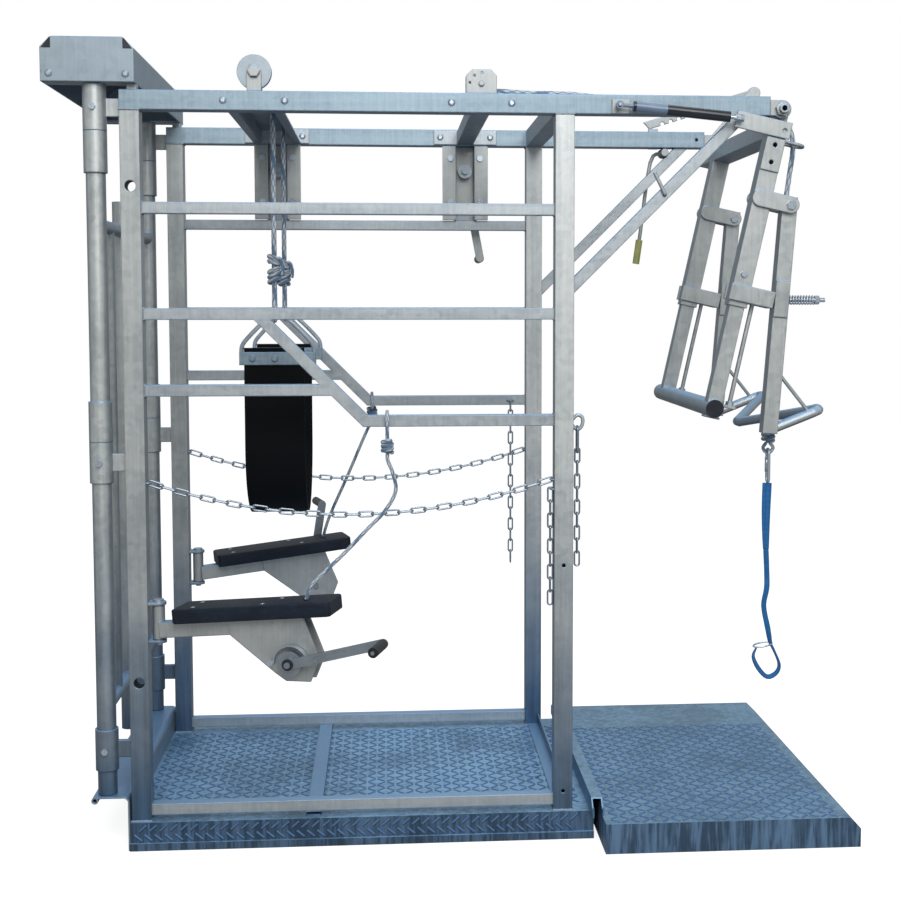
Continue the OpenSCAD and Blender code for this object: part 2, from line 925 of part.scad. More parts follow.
hind_crank_y = hy + shaft_back - crank_t * 2;

module hind_crank() {
    color(zinc)
        difference() {
            translate([hind_x, 0, shaft_z])
                rotate([0, -hind_crank_a, 0])
                    crank_arm(hind_crank_l, hind_crank_y);
            rod_y(hy, hy + shaft_back + over, hind_x, shaft_z, shaft_r);
        }
}

module hind_crank_grip() {
    color(black)
        translate([hind_x, 0, shaft_z])
            rotate([0, -hind_crank_a, 0])
                crank_knob(hind_crank_l, hind_crank_y);
}

// Belly belt: a hanging loop of rubber, clamped and hung at both sides

belt_shift = 37;
belt_x = belly_x + belt_shift;
belt_top = zf + belt_z;
belt_turn = belt_top - belt_side;
clamp_h = 36;
clamp_t = 5;
clamp_drop = 11;
clamp_bolt_x = [-68, -8, 68];
clamp_bolt_r = 8;
clamp_bolt_h = 6;
bail_r = 6;
bail_gap = 1;
bail_x = belt_w / 2 + bail_r + bail_gap;
clamp_w = (bail_x + bail_r) * 2;
bail_low = 30;
bail_kink = 12;
bail_apex = 92;
bail_top = 14;

module belly_belt() {
    color(black)
        along_x(belt_x - belt_w / 2, belt_x + belt_w / 2)
            union() {
                for (s = [-1, 1])
                    translate([s * belt_r - belt_t / 2, belt_turn])
                        square([belt_t, belt_side]);
                intersection() {
                    translate([0, belt_turn])
                        difference() {
                            circle(r = belt_r + belt_t / 2, $fn = 96);
                            circle(r = belt_r - belt_t / 2, $fn = 96);
                        }
                    translate([-belt_r * 2, belt_turn - belt_r * 2])
                        square([belt_r * 4, belt_r * 2]);
                }
            }
}

module belt_clamps() {
    z1 = belt_top - clamp_drop;
    color(zinc)
        for (s = [-1, 1]) {
            for (k = [-1, 1]) {
                y0 = s * belt_r + k * (belt_t + clamp_t) / 2;
                slab([belt_x - clamp_w / 2, y0 - clamp_t / 2, z1 - clamp_h],
                    [belt_x + clamp_w / 2, y0 + clamp_t / 2, z1]);
            }
            for (x = clamp_bolt_x) {
                y1 = s * (belt_r + belt_t / 2 + clamp_t);
                rod_y(min(y1, y1 + s * clamp_bolt_h), max(y1, y1 + s * clamp_bolt_h), belt_x + x,
                    z1 - clamp_h / 2, clamp_bolt_r);
            }
        }
}

module belt_bails() {
    color(steel)
        for (s = [-1, 1])
            swept(smooth([for (p = [[-bail_x, -bail_low], [-bail_x, 0], [-bail_x + bail_top, bail_kink * 2],
                [-bail_top * 2, bail_apex - bail_kink], [0, bail_apex], [bail_top * 2, bail_apex - bail_kink],
                [bail_x - bail_top, bail_kink * 2], [bail_x, 0], [bail_x, -bail_low]])
                [belt_x + p[0], s * belt_r, belt_top + p[1]]], 3), bail_r, rope_sides, [0, 1, 0]);
}

knot_low = 170;
knot_high = 256;
coil_fit = 0.4;
coil_wire = 6.4;
coil_gap = 1;
coil_rings = 10;
coil_sides = 8;
loop_rope = 6.5;
loop_y = 14;

// A knot is a close coil of rope turns round the standing part
module knot(l, r) {
    c = r + coil_wire + coil_fit;
    step = coil_wire * 2 + coil_gap;
    n = floor((l - coil_wire * 2) / step * coil_rings);
    union() {
        cylinder(h = l, r = r);
        swept([for (i = [0:n]) [c * cos(360 * i / coil_rings), c * sin(360 * i / coil_rings),
            coil_wire + i * step / coil_rings]], coil_wire, coil_sides, [0, 0, 1]);
    }
}

module belt_knots() {
    a = belt_top + bail_apex;
    k = belt_top + knot_low;
    color(cord_white)
        for (s = [-1, 1])
            translate([belt_x, s * belt_r, 0]) {
                swept(smooth([[0, -loop_rope, k], [0, -loop_rope, k - loop_y], [0, -loop_y, a + loop_y],
                    [0, -loop_y, a], [0, 0, a - loop_y * 5 / 4], [0, loop_y, a], [0, loop_y, a + loop_y],
                    [0, loop_rope, k - loop_y], [0, loop_rope, k]], 3), loop_rope, coil_sides, [1, 0, 0]);
                translate([0, 0, k])
                    knot(knot_high - knot_low, rope_d / 2);
            }
}

module belt_ropes() {
    color(cord_white)
        for (s = [-1, 1])
            rod_z(belt_top + knot_high, zt - carrier_low - carrier_t, belt_x, s * belt_r, rope_d / 2);
}

// Hind frame, drawn upright in its own frame around the pivot at the rail ends and then sloped

piv_out = 32;
piv_drop = 33;
piv_x = xe + piv_out;
piv_z = zt - piv_drop;
piv_r = 12;
piv_fit = 0.3;
piv_hole = 7;
ear_r = 24;
ear_t = 12;
ear_low = 30;
fork_t = 8;
hub_l = 12;
hub_r = 20;
leg_w = tube;
leg_t = 4;
leg_out = 6;
leg_y = yc + leg_out;
leg_half = leg_w / 2;
strap_plate_t = 6;

module at_tilt() {
    translate([piv_x, 0, piv_z])
        rotate([0, tilt_a, 0])
            children();
}

catch_x = 155;
catch_r = 6;
catch_w = 30;
catch_plate = 8;
catch_top = 15;
bearing_x = 126;
bearing_r = 15;
bearing_y0 = 411;
bearing_y1 = 420;
release_r = 8;
strut_x = 695;
strut_drop = 30;
strut_y = -450;
strut_pin = 5;
strut_pin_l = 12;
strut_plate = 6;
strut_plate_w = 47;
strut_plate_h = 38;
bearing_z = zu - bearing_r;

// Fork plates on the rail ends, the strut bracket, the rack catch and the release bearing
module rail_lugs() {
    color(zinc) {
        difference() {
            pair_y()
                for (y = [-hy, -yi - fork_t])
                    union() {
                        slab([xe, y, zu], [piv_x, y + fork_t, piv_z + ear_r]);
                        rod_y(y, y + fork_t, piv_x, piv_z, ear_r);
                    }
            rod_y(-hy - over, hy + over, piv_x, piv_z, piv_r + piv_fit);
        }
        slab([strut_x - strut_plate_w / 3, -hy - strut_plate, zu], [strut_x + strut_plate_w * 2 / 3, -hy, zu + strut_plate_h]);
        rod_y(strut_y - strut_pin_l, -hy - strut_plate, strut_x, zt - strut_drop, strut_pin);
        slab([xe - catch_x - catch_w / 2, hy, zu], [xe - catch_x + catch_w / 2, hy + catch_plate, zt + catch_top]);
        rod_y(hy + catch_plate, hy + catch_plate * 3, xe - catch_x, zt + catch_top - catch_r, catch_r);
        difference() {
            rod_y(bearing_y0, bearing_y1, xe - bearing_x, bearing_z, bearing_r);
            rod_y(bearing_y0 - over, bearing_y1 + over, xe - bearing_x, bearing_z, release_r + piv_fit);
        }
    }
}

arm_x = 104;
arm_z1 = 193;
rack_eye = 20;
rack_pin = 6;
rack_fit = 0.4;
arm_out = 4;
arm_y = hy + arm_out;
arm_t = 8;
arm_half = 18;
arm_waist = 16;
arm_end = [arm_x, arm_z1];
arm_side = arm_waist * [arm_z1, -arm_x] / norm(arm_end);
rack_gap = 2;
rack_t = 8;
fish_t = 4;
fish_top = 78;
fish_low = 165;
fish_hole = 6;
fish_holes = [96, 142];
brk_left = -116;
brk_right = 33;
brk_top = 31;
brk_low = 75;
brk_hole_x = 17;
brk_hole_z = 55;
cross_low = 80;
u_out = 93;
u_z = 72;
u_y = 350;
u_half = 20;
u_r = 5;
link_left = -28;
link_half = 22;
bolt_x = 77.5;
bolt_z = 239;
bolt_r = 8;
low_left = -30;
low_right = 90;
low_top_z = 471;
low_low_z = 515;
web_t = 6;
stud_r = 6;
stud_z = 493;
set_x = -3;
set_z = 442;
stud_at = [piv_x + (low_right - web_t) * cos(tilt_a) - stud_z * sin(tilt_a),
    piv_z - (low_right - web_t) * sin(tilt_a) - stud_z * cos(tilt_a)];
leg_ys = [-leg_y, leg_far_y];

// Link plate with round ends along X, from the first to the second place
module round_plate(x0, x1, z, h, y0, t) {
    union() {
        slab([x0 + h, y0, z - h], [x1 - h, y0 + t, z + h]);
        rod_y(y0, y0 + t, x0 + h, z, h);
        rod_y(y0, y0 + t, x1 - h, z, h);
    }
}

module spring_studs(r) {
    for (y = leg_ys)
        rod_x(stud_at[0] - stud_back, stud_at[0] + stud_l, y, stud_at[1], r);
}

module tilt_solid() {
    difference() {
        union() {
            pair_y()
                rod_y(-yc - ear_t / 2, -yc + ear_t / 2, 0, 0, ear_r);
            slab([-ear_r, -yc - ear_t / 2, -ear_low], [ear_r, -yc + ear_t / 2, 0]);
            slab([-ear_r, yc - ear_t / 2, -ear_low], [ear_r, yc + ear_t / 2, 0]);
            rod_y(-hy - hub_l * 2, -yi + fork_t / 2, 0, 0, piv_r);
            hex_y(-hy - hub_l, -hy - over * half, 0, 0, hub_r);
            rod_y(yi - fork_t / 2, arm_y + arm_t, 0, 0, piv_r);
            tube_y(-leg_y + leg_half, yc + ear_t / 2, 0, -(ear_low + cross_low) / 2, leg_w, cross_low - ear_low, leg_t);
            tube_z(-leg_l, -ear_low, 0, -leg_y, leg_w, leg_w, leg_t);
            slab([-leg_half, -leg_y - leg_half, -ear_low - leg_t], [leg_half, -leg_y + leg_half, -ear_low]);
            tube_z(-leg_l, -cross_low, 0, leg_far_y, leg_w, leg_w, leg_t);
            slab([brk_left, -leg_y - leg_half - strap_plate_t, -brk_low],
                [brk_right, -leg_y - leg_half, -brk_top]);
            slab([-leg_half, -leg_y - leg_half - fish_t, -fish_low], [leg_half, -leg_y - leg_half, -fish_top]);
            for (s = [-1, 1])
                rod_x(leg_half - leg_t / 2, u_out - u_half, -u_y + s * u_half, -u_z, u_r);
            translate([u_out - u_half, -u_y, -u_z])
                rotate([0, 0, -90])
                    rotate_extrude(angle = 180)
                        translate([u_half, 0])
                            circle(r = u_r);
            for (y = leg_ys)
                for (s = [-1, 1]) {
                    y0 = y + s * (leg_half + fork_t / 2) - fork_t / 2;
                    round_plate(link_left, bolt_x + link_half, -bolt_z, link_half, y0, fork_t);
                    slab([low_left, y0, -low_low_z], [low_right, y0 + fork_t, -low_top_z]);
                }
            for (y = leg_ys)
                slab([low_right - web_t, y - leg_half, -low_low_z], [low_right, y + leg_half, -low_top_z]);
            rod_y(arm_y, arm_y + arm_t, 0, 0, arm_half);
            along_y(arm_y, arm_y + arm_t)
                polygon([arm_side, arm_end + arm_side, arm_end - arm_side, -arm_side]);
            rod_y(arm_y, arm_y + arm_t, arm_x, arm_z1, arm_half);
            rod_y(arm_y, arm_y + arm_t + rack_gap * 2 + rack_t, arm_x, arm_z1, rack_pin);
        }
        rod_y(-hy - hub_l * 2 - over, -yi, 0, 0, piv_hole);
        rod_y(-leg_y - leg_half - strap_plate_t - over, -leg_y - leg_half - over * half, brk_hole_x, -brk_hole_z, fish_hole);
        for (z = fish_holes)
            rod_y(-leg_y - leg_half - fish_t - over, -leg_y - leg_half + leg_t + over, 0, -z, fish_hole);
        for (y = leg_ys)
            rod_y(y - leg_w, y + leg_w, bolt_x, -bolt_z, bolt_r);
    }
}

module tilt_frame() {
    color(zinc)
        difference() {
            at_tilt()
                tilt_solid();
            spring_studs(stud_r);
        }
}

stud_back = 16;
stud_l = 152;
nut_l = 12;
nut_wide = 12;
stud_end = 16;
bolt_head = 7;
bolt_wide = 13;
set_r = 9;

// Hoof frame bolts, the set screw, and the spring studs with their nuts
module hind_bolts() {
    color(steel) {
        at_tilt() {
            for (y = leg_ys)
                union() {
                    rod_y(y - leg_half - fork_t, y + leg_half + fork_t, bolt_x, -bolt_z, bolt_r);
                    hex_y(y - leg_half - fork_t - bolt_head, y - leg_half - fork_t, bolt_x, -bolt_z, bolt_wide);
                    hex_y(y + leg_half + fork_t, y + leg_half + fork_t + bolt_head, bolt_x, -bolt_z, bolt_wide);
                }
            hex_y(-leg_y - leg_half - bolt_head, -leg_y - leg_half, set_x, -set_z, set_r);
        }
        union() {
            spring_studs(stud_r);
            for (y = leg_ys)
                translate([stud_at[0] + stud_l - stud_end - nut_l, y, stud_at[1]])
                    rotate([0, 90, 0])
                        cylinder(h = nut_l, r = nut_wide, $fn = 6);
        }
    }
}

module at_hoof() {
    at_tilt()
        translate([bolt_x, 0, -bolt_z])
            rotate([0, -hoof_a, 0])
                children();
}

hoof_t = 3;
hoof_up = 22;
stud_fit = 5;
clamp_plate_t = 4;
clamp_plate_x = 19;
clamp_plate_z = [296, 200];
loop_sides = 12;
loop_start = 591;
loop_rise = 25.6;
loop_x = [18, 120, 135, 135, 120, 5, -2];
loop_y_share = [1, 1, 0.95, 0.87, 0.81, 0.1, 0.05];
brace_from = [18, -449];
brace_to = [106, -543];
brace_r = 5;
hoof_mid = (leg_far_y - leg_y) / 2;
hoof_span = (leg_far_y + leg_y) / 2;
loop_pts = [for (i = [0:len(loop_x) - 1])
    [loop_x[i], hoof_mid - loop_y_share[i] * hoof_span, -loop_start + (loop_x[i] - loop_x[0]) * tan(loop_rise)]];
loop_back = [for (i = [len(loop_x) - 1:-1:0]) [loop_pts[i][0], hoof_mid * 2 - loop_pts[i][1], loop_pts[i][2]]];

module hoof_solid() {
    difference() {
        union() {
            for (y = leg_ys) {
                tube_z(-hoof_l, hoof_up, 0, y, leg_in, leg_in, hoof_t);
                slab([-clamp_plate_x, y - leg_in / 2 - clamp_plate_t, -clamp_plate_z[0]],
                    [clamp_plate_x, y - leg_in / 2, -clamp_plate_z[1]]);
                rod_to([brace_from[0], y, brace_from[1]], [brace_to[0], y, brace_to[1]], brace_r);
            }
            swept(smooth(concat(loop_pts, loop_back), 3), loop_r, loop_sides, [-sin(loop_rise), 0, cos(loop_rise)]);
        }
        for (y = leg_ys)
            rod_y(y - leg_in, y + leg_in, 0, 0, bolt_r + rack_fit);
    }
}

module hoof_frame() {
    color(zinc)
        difference() {
            at_hoof()
                hoof_solid();
            spring_studs(stud_r + stud_fit);
        }
}

spring_r = 11;
spring_wire = 2;
spring_turns = 9;
spring_gap = 1.9;
spring_rings = 8;
spring_sides = 6;
spring_fit = 0.3;
hoof_lean = tilt_a - hoof_a;
hoof_pin = [piv_x + bolt_x * cos(tilt_a) - bolt_z * sin(tilt_a), piv_z - bolt_x * sin(tilt_a) - bolt_z * cos(tilt_a)];
function hoof_face(z) = hoof_pin[0] + leg_in / 2 / cos(hoof_lean) + (z - hoof_pin[1]) * tan(hoof_lean);
spring_x0 = hoof_face(stud_at[1] + spring_r + spring_wire) + spring_wire + spring_fit;
spring_x1 = stud_at[0] + stud_l - stud_end - nut_l - spring_gap;

spring_n = spring_turns * spring_rings;
spring_pts = [for (i = [0:spring_n]) [spring_x0 + (spring_x1 - spring_x0) * i / spring_n,
    spring_r * cos(360 * i / spring_rings), stud_at[1] + spring_r * sin(360 * i / spring_rings)]];
spring_clear = min([for (i = [0:spring_n - spring_rings]) norm(spring_pts[i + spring_rings] - spring_pts[i])])
    - spring_wire * 2;
echo(str("least gap between spring turns: ", spring_clear, " mm"));

module hoof_springs() {
    color(steel)
        for (y = leg_ys)
            translate([0, y, 0])
                swept(spring_pts, spring_wire, spring_sides, [1, 0, 0]);
}

hock_top = 300;
hock_t = 3;
hock_wall = 4;
hock_y0 = -432;
hock_y1 = 310;
guide_x = 43;
guide_r = 6;
guide_top = 470;
tab_x0 = 10;
tab_x1 = 60;
tab_half = 10;
tab_t = 8;
tab_up = 16;
guide_nut = 11;
guide_nut_h = 10;
foot_x0 = -20;
foot_x1 = 22;
foot_t = 6;
foot_y = 17;

module hock_solid() {
    difference() {
        union() {
            for (y = leg_ys) {
                tube_z(-hock_z, -hock_top, 0, y, leg_in, leg_in, hock_t);
                rod_z(-hock_z + tab_up, -guide_top, guide_x, y, guide_r);
                slab([tab_x0, y - tab_half, -hock_z + tab_up - tab_t], [tab_x1, y + tab_half, -hock_z + tab_up]);
                translate([guide_x, y, -hock_z + tab_up])
                    cylinder(h = guide_nut_h, r = guide_nut, $fn = 6);
            }
            rod_y(hock_y0, hock_y1, 0, -hock_z, hock_r);
            slab([foot_x0, -leg_y - foot_y, -hock_z - hock_r - foot_t * half], [foot_x1, -leg_y + foot_y, -hock_z - hock_r + foot_t * half]);
        }
        rod_y(hock_y0 - over, hock_y1 + over, 0, -hock_z, hock_r - hock_wall);
    }
}

module hock_frame() {
    color(zinc)
        at_tilt()
            hock_solid();
}

cap_t = 3;
cap_plug = 14;

module hock_caps() {
    color(black)
        at_tilt()
            for (y = [hock_y0, hock_y1 + cap_t])
                union() {
                    rod_y(y - cap_t, y, 0, -hock_z, hock_r);
                    rod_y(y < 0 ? y : y - cap_t - cap_plug, y < 0 ? y + cap_plug : y - cap_t, 0, -hock_z,
                        hock_r - hock_wall);
                }
}

// Gas strut along X from its eye, sloped to the bracket of the hind frame
strut_slope = 5.5;
strut_eye = 10;
strut_eye_h = 6;
strut_stud = 36;
strut_ring = 7;
strut_mid = 125;
strut_end = 291;
strut_r = 13;
sleeve_r = 14;
strut_bore = 6.5;
strut_rod_r = 6;
strut_tip = 306;
strut_tip_l = 22;
strut_tip_r = 10;
strut_in = 70;

module at_strut() {
    translate([strut_x, strut_y, zt - strut_drop])
        rotate([0, strut_slope, 0])
            children();
}

module strut_body() {
    color(steel)
        at_strut()
            difference() {
                union() {
                    rod_y(-strut_eye_h, strut_eye_h, 0, 0, strut_eye);
                    rod_x(strut_eye * half, strut_stud + strut_ring, 0, 0, strut_pin);
                    rod_x(strut_stud + strut_ring, strut_mid, 0, 0, strut_r);
                }
                rod_y(-strut_eye_h - over, strut_eye_h + over, 0, 0, strut_pin + piv_fit);
                rod_x(strut_stud + strut_ring * 2, strut_mid + over, 0, 0, strut_bore);
            }
}

module strut_sleeve() {
    color(black)
        at_strut() {
            difference() {
                rod_x(strut_stud, strut_stud + strut_ring, 0, 0, sleeve_r);
                rod_x(strut_stud - over, strut_stud + strut_ring + over, 0, 0, strut_pin);
            }
            difference() {
                rod_x(strut_mid, strut_end, 0, 0, sleeve_r);
                rod_x(strut_mid - over, strut_end + over, 0, 0, strut_bore);
            }
        }
}

module strut_rod() {
    color(steel)
        at_strut()
            union() {
                rod_x(strut_in, strut_tip, 0, 0, strut_rod_r);
                translate([strut_tip, 0, 0])
                    rotate([0, 90, 0])
                        cylinder(h = strut_tip_l, r = strut_tip_r, $fn = 6);
            }
}

// Toothed rack that holds the slope of the hind frame, hung from the arm of the frame
rack_slope = 17;
rack_l = 372;
rack_half = 13;
rack_notches = 7;
rack_pitch = 28;
rack_first = 146;
notch_r = 7;
notch_lean = 35;
notch_w = 8;
rack_at = [piv_x + arm_x * cos(tilt_a) + arm_z1 * sin(tilt_a), piv_z - arm_x * sin(tilt_a) + arm_z1 * cos(tilt_a)];
rack_y = arm_y + arm_t + rack_gap;

module tilt_rack() {
    color(zinc)
        translate([rack_at[0], 0, rack_at[1]])
            rotate([0, -rack_slope, 0])
                difference() {
                    union() {
                        rod_y(rack_y, rack_y + rack_t, 0, 0, rack_eye);
                        along_y(rack_y, rack_y + rack_t)
                            polygon([[0, rack_half], [0, -rack_half], [-rack_l + rack_half, -rack_half],
                                [-rack_l, rack_half]]);
                    }
                    rod_y(rack_y - over, rack_y + rack_t + over, 0, 0, rack_pin + rack_fit);
                    for (i = [0:rack_notches - 1])
                        translate([-rack_first - i * rack_pitch, 0, -rack_half + notch_r * half])
                            union() {
                                rod_y(rack_y - over, rack_y + rack_t + over, 0, 0, notch_r);
                                rotate([0, notch_lean, 0])
                                    slab([-notch_w / 2, rack_y - over, -rack_half], [notch_w / 2, rack_y + rack_t + over, 0]);
                            }
                }
}

release_pts = [[0, 0, 0], [-36, 0, -26], [-67, 0, -250], [-80, 0, -344]];
release_front = 380;
release_back = 446;
release_head = 12;
release_grip_r = 11;
release_y = hy + release_r;

module at_release() {
    translate([xe - bearing_x, release_y, bearing_z])
        children();
}

module release_lever() {
    color(zinc)
        union() {
            rod_y(release_front, release_back, xe - bearing_x, bearing_z, release_r);
            rod_y(release_front - release_head, release_front + release_r * 2, xe - bearing_x, bearing_z, release_head);
            at_release()
                swept(smooth(release_pts, rope_steps), release_r * 3 / 4, loop_sides, [0, 1, 0]);
        }
}

module release_grip() {
    a = release_pts[2] + (release_pts[3] - release_pts[2]) * half * half;
    b = release_pts[3];
    color(lime)
        at_release()
            difference() {
                rod_to(a, b + (b - a) / norm(b - a) * release_grip_r * half, release_grip_r);
                rod_to(a - (b - a), b, release_r * 3 / 4 + rack_fit);
            }
}

// Front leg rests, drawn for the near side along X from the hinge pin

sleeve_wall = 8;
sleeve_low = -25;
sleeve_high = 65;
rest_fit = 0.4;
arm_w = 40;
arm_wall = 3;
arm_l = 225;
cheek_t = 5;
cheek_x = [200, 405, 440, 410, 345, 316, 205];
cheek_z = [20, 20, -92, -150, -145, -122, -20];
drum_x = 366;
drum_z = -95;
rest_drum_r = 26;
rest_shaft_r = 8;
disc_r = 33;
disc_gap = 2;
disc_t = 6;
hub_wide = 28;
hub_deep = 22;
pad_x = 58;
pad_cut = 8;
pad_shift = 8.5;
pad_hole_x = 410;
pad_hole_r = 9;
rest_crank_a = 9.5;
far_crank_a = 76;
slot_r = 6;
slot_l = 0.3;

module at_rest() {
    translate([rest_x, -yc, zf + rest_z])
        rotate([0, 0, -rest_yaw])
            children();
}

module rest_arm() {
    difference() {
        union() {
            rod_z(sleeve_low, sleeve_high, 0, 0, rest_pin_r + sleeve_wall);
            rotate([0, -rest_inc, 0]) {
                difference() {
                    slab([rest_pin_r, -arm_w / 2, -arm_w / 2], [arm_l, arm_w / 2, arm_w / 2]);
                    slab([rest_pin_r + sleeve_wall, -arm_w / 2 + arm_wall, -arm_w / 2 + arm_wall],
                        [arm_l + over, arm_w / 2 - arm_wall, arm_w / 2 - arm_wall]);
                }
                for (s = [-1, 1])
                    difference() {
                        along_y(s * (arm_w + cheek_t) / 2 - cheek_t / 2, s * (arm_w + cheek_t) / 2 + cheek_t / 2)
                            polygon([for (i = [0:len(cheek_x) - 1]) [cheek_x[i], cheek_z[i]]]);
                        rod_y(-arm_w, arm_w, drum_x, drum_z, rest_shaft_r + rest_fit);
                    }
            }
        }
        rod_z(sleeve_low - over, sleeve_high + over, 0, 0, rest_pin_r + rest_fit);
    }
}

module rest_pad() {
    w = pad_w / 2;
    rotate([0, -rest_inc, 0])
        difference() {
            translate([0, pad_shift, arm_w / 2])
                linear_extrude(height = pad_t)
                    polygon([[pad_x, -w + pad_cut * half], [pad_x + pad_cut, -w], [pad_x + pad_l - pad_cut * half, -w],
                        [pad_x + pad_l, -w + pad_cut], [pad_x + pad_l, w], [pad_x + pad_cut, w],
                        [pad_x, w - pad_cut]]);
            rod_z(0, arm_w + pad_t, pad_hole_x, 0, pad_hole_r);
        }
}

module at_drum(a) {
    rotate([0, -rest_inc, 0])
        translate([drum_x, 0, drum_z])
            mirror([0, 1, 0])
                rotate([0, -90 - a, 0])
                    children();
}

disc_y = arm_w / 2 + cheek_t + disc_gap + hub_deep;

module rest_crank(a) {
    at_drum(a)
        difference() {
            union() {
                rod_y(-arm_w / 2 - cheek_t * 2, disc_y + disc_t + crank_t * 2, 0, 0, rest_shaft_r);
                rod_y(-arm_w / 2 + disc_gap, arm_w / 2 - disc_gap, 0, 0, rest_drum_r);
                rod_y(disc_y, disc_y + disc_t, 0, 0, disc_r);
                rod_y(disc_y - hub_deep, disc_y, 0, 0, hub_wide);
                crank_arm(rest_crank_l, disc_y + disc_t);
            }
            for (k = [0, 1])
                rod_y(disc_y + disc_t * 2, disc_y + disc_t * 3, 0, -rest_crank_l * (1 + k) * slot_l, slot_r);
            slab([-slot_r, disc_y + disc_t * 2, -rest_crank_l * slot_l * 2],
                [slot_r, disc_y + disc_t * 3, -rest_crank_l * slot_l]);
        }
}

module rest_near() {
    color(zinc)
        at_rest()
            rest_arm();
}

module pad_near() {
    color(black)
        at_rest()
            rest_pad();
}

module crank_near() {
    color(zinc)
        at_rest()
            rest_crank(rest_crank_a);
}

module grip_near() {
    color(black)
        at_rest()
            at_drum(rest_crank_a)
                crank_knob(rest_crank_l, disc_y + disc_t);
}

module rest_far() {
    color(zinc)
        mirror([0, 1, 0])
            at_rest()
                rest_arm();
}

module pad_far() {
    color(black)
        mirror([0, 1, 0])
            at_rest()
                rest_pad();
}

module crank_far() {
    color(zinc)
        mirror([0, 1, 0])
            at_rest()
                rest_crank(far_crank_a);
}

module grip_far() {
    color(black)
        mirror([0, 1, 0])
            at_rest()
                at_drum(far_crank_a)
                    crank_knob(rest_crank_l, disc_y + disc_t);
}

// Chains: welded links on a hanging curve between staples on the posts

chain_up = 892;
chain_z = zf + chain_up;
staple_out = 9;
staple_wire = 2.5;
link_in = 8;
link_gap = 0.4;
pitch = link_l - link_gap;
chain_slack = 1.021;
link_roll = 90;
span_half = xi - staple_out + staple_wire + link_gap;
side_links = round(chain_slack * span_half * 2 / pitch);
chain_half = side_links * pitch / 2;
tail_drop = 26;
tail_links = 9;
far_x = 483;
far_links = 15;
eye_z = 1050;
eye_r = 13;
eye_wire = 5;
eye_links = 9;
clip_l = 62;
clip_w = 26;
clip_wire = 7;

// Half ring on a post face at x, standing out to the side s
module staple(x, s, y, z) {
    translate([x, y, z])
        rotate([0, 0, s > 0 ? -90 : 90])
            half_ring();
}
module half_ring() {
    rotate_extrude(angle = 180)
        translate([staple_out, 0])
            circle(r = staple_wire);
}

function arsinh(x) = ln(x + sqrt(x * x + 1));
function curve_a(lo, hi, n) = n == 0 ? (lo + hi) / 2
    : let (m = (lo + hi) / 2) m * arsinh(chain_half / m) < span_half ? curve_a(m, hi, n - 1) : curve_a(lo, m, n - 1);
hang_a = curve_a(span_half / 2, span_half * 20, 40);
hang_end = sqrt(hang_a * hang_a + chain_half * chain_half);
chain_lift = staple_wire * chain_half / hang_end;

// One link lying along X with its flat in the XZ plane
module ring_link(l, w, d) {
    r = (w + d) / 2;
    c = l / 2 - w / 2;
    union() {
        for (s = [-1, 1]) {
            translate([s * c, 0, 0])
                rotate([90, 0, 0])
                    rotate([0, 0, s > 0 ? -90 : 90])
                        rotate_extrude(angle = 180)
                            translate([r, 0])
                                circle(r = d / 2);
            rod_x(-c, c, 0, s * r, d / 2);
        }
    }
}

module side_chain() {
    for (i = [0:side_links - 1]) {
        s = (i - (side_links - 1) / 2) * pitch;
        z = chain_z + chain_lift + sqrt(hang_a * hang_a + s * s) - hang_end;
        translate([hang_a * arsinh(s / hang_a), -yc, z])
            rotate([0, -atan(s / hang_a), 0])
                rotate([i % 2 * link_roll, 0, 0])
                    ring_link(link_l, link_in, link_d);
    }
}

module side_chain_near() {
    color(steel)
        side_chain();
}

module side_chain_far() {
    color(steel)
        mirror([0, 1, 0])
            side_chain();
}

// Links hanging straight down from z
module hung_links(n, x, y, z, first) {
    for (i = [0:n - 1])
        translate([x, y, z - (i + half) * pitch])
            rotate([0, 0, (i + first) % 2 * link_roll])
                rotate([0, 90, 0])
                    ring_link(link_l, link_in, link_d);
}

module hang_chains() {
    clip_z = zf + eye_z - eye_r * 2 - eye_wire;
    color(steel) {
        hung_links(tail_links, xi - staple_out, -yc, chain_z - tail_drop + staple_wire, 0);
        hung_links(far_links, far_x, yc - rail / 2 - staple_out, zr4 + staple_wire, 1);
        translate([hx + eye_r, -yc, clip_z + eye_wire * 2 - clip_l / 2 + link_gap])
            rotate([0, 0, link_roll])
                rotate([0, 90, 0])
                    ring_link(clip_l, clip_w / 2, clip_wire);
        hung_links(eye_links, hx + eye_r, -yc, clip_z + eye_wire * 2 - clip_l + link_gap * 2 + link_d, 0);
    }
}

// Ropes and the hind strap, along the places where they hang

rope_sides = 10;
rope_steps = 4;
leg_rope_r = 5;
near_rope = [[-118, -500, 600], [-100, -492, 640], [-20, -455, 712], [40, -436, 772], [85, -428, 817],
    [113, -424, 868], [106, -424, 915], [93, -424, 948], [92, -424, 964]];
far_rope = [[-118, 500, 600], [-96, 492, 670], [-36, 450, 806], [28, 427, 955], [43, 424, 976], [44, 424, 990]];
near_knot = [92, -424, 964];
far_knot = [44, 424, 990];
leg_knot_l = 44;
tie_r = 24;
hind_route = [[356, -393, 1909], [410, -386, 1909], [470, -362, 1909], [557, -356, 1909], [630, -354, 1904],
    [1000, -350, 1862], [1120, -350, 1850], [1158, -350, 1840], [1176, -350, 1812], [1181, -350, 1770],
    [1172, -350, 1700], [1160, -350, 1600], [1142, -350, 1370], [1132, -350, 1210], [1126, -350, 1110],
    [1124, -350, 1060], [1124, -350, 1030.3]];

function lift(p) = [for (q = p) q + [0, 0, zf]];

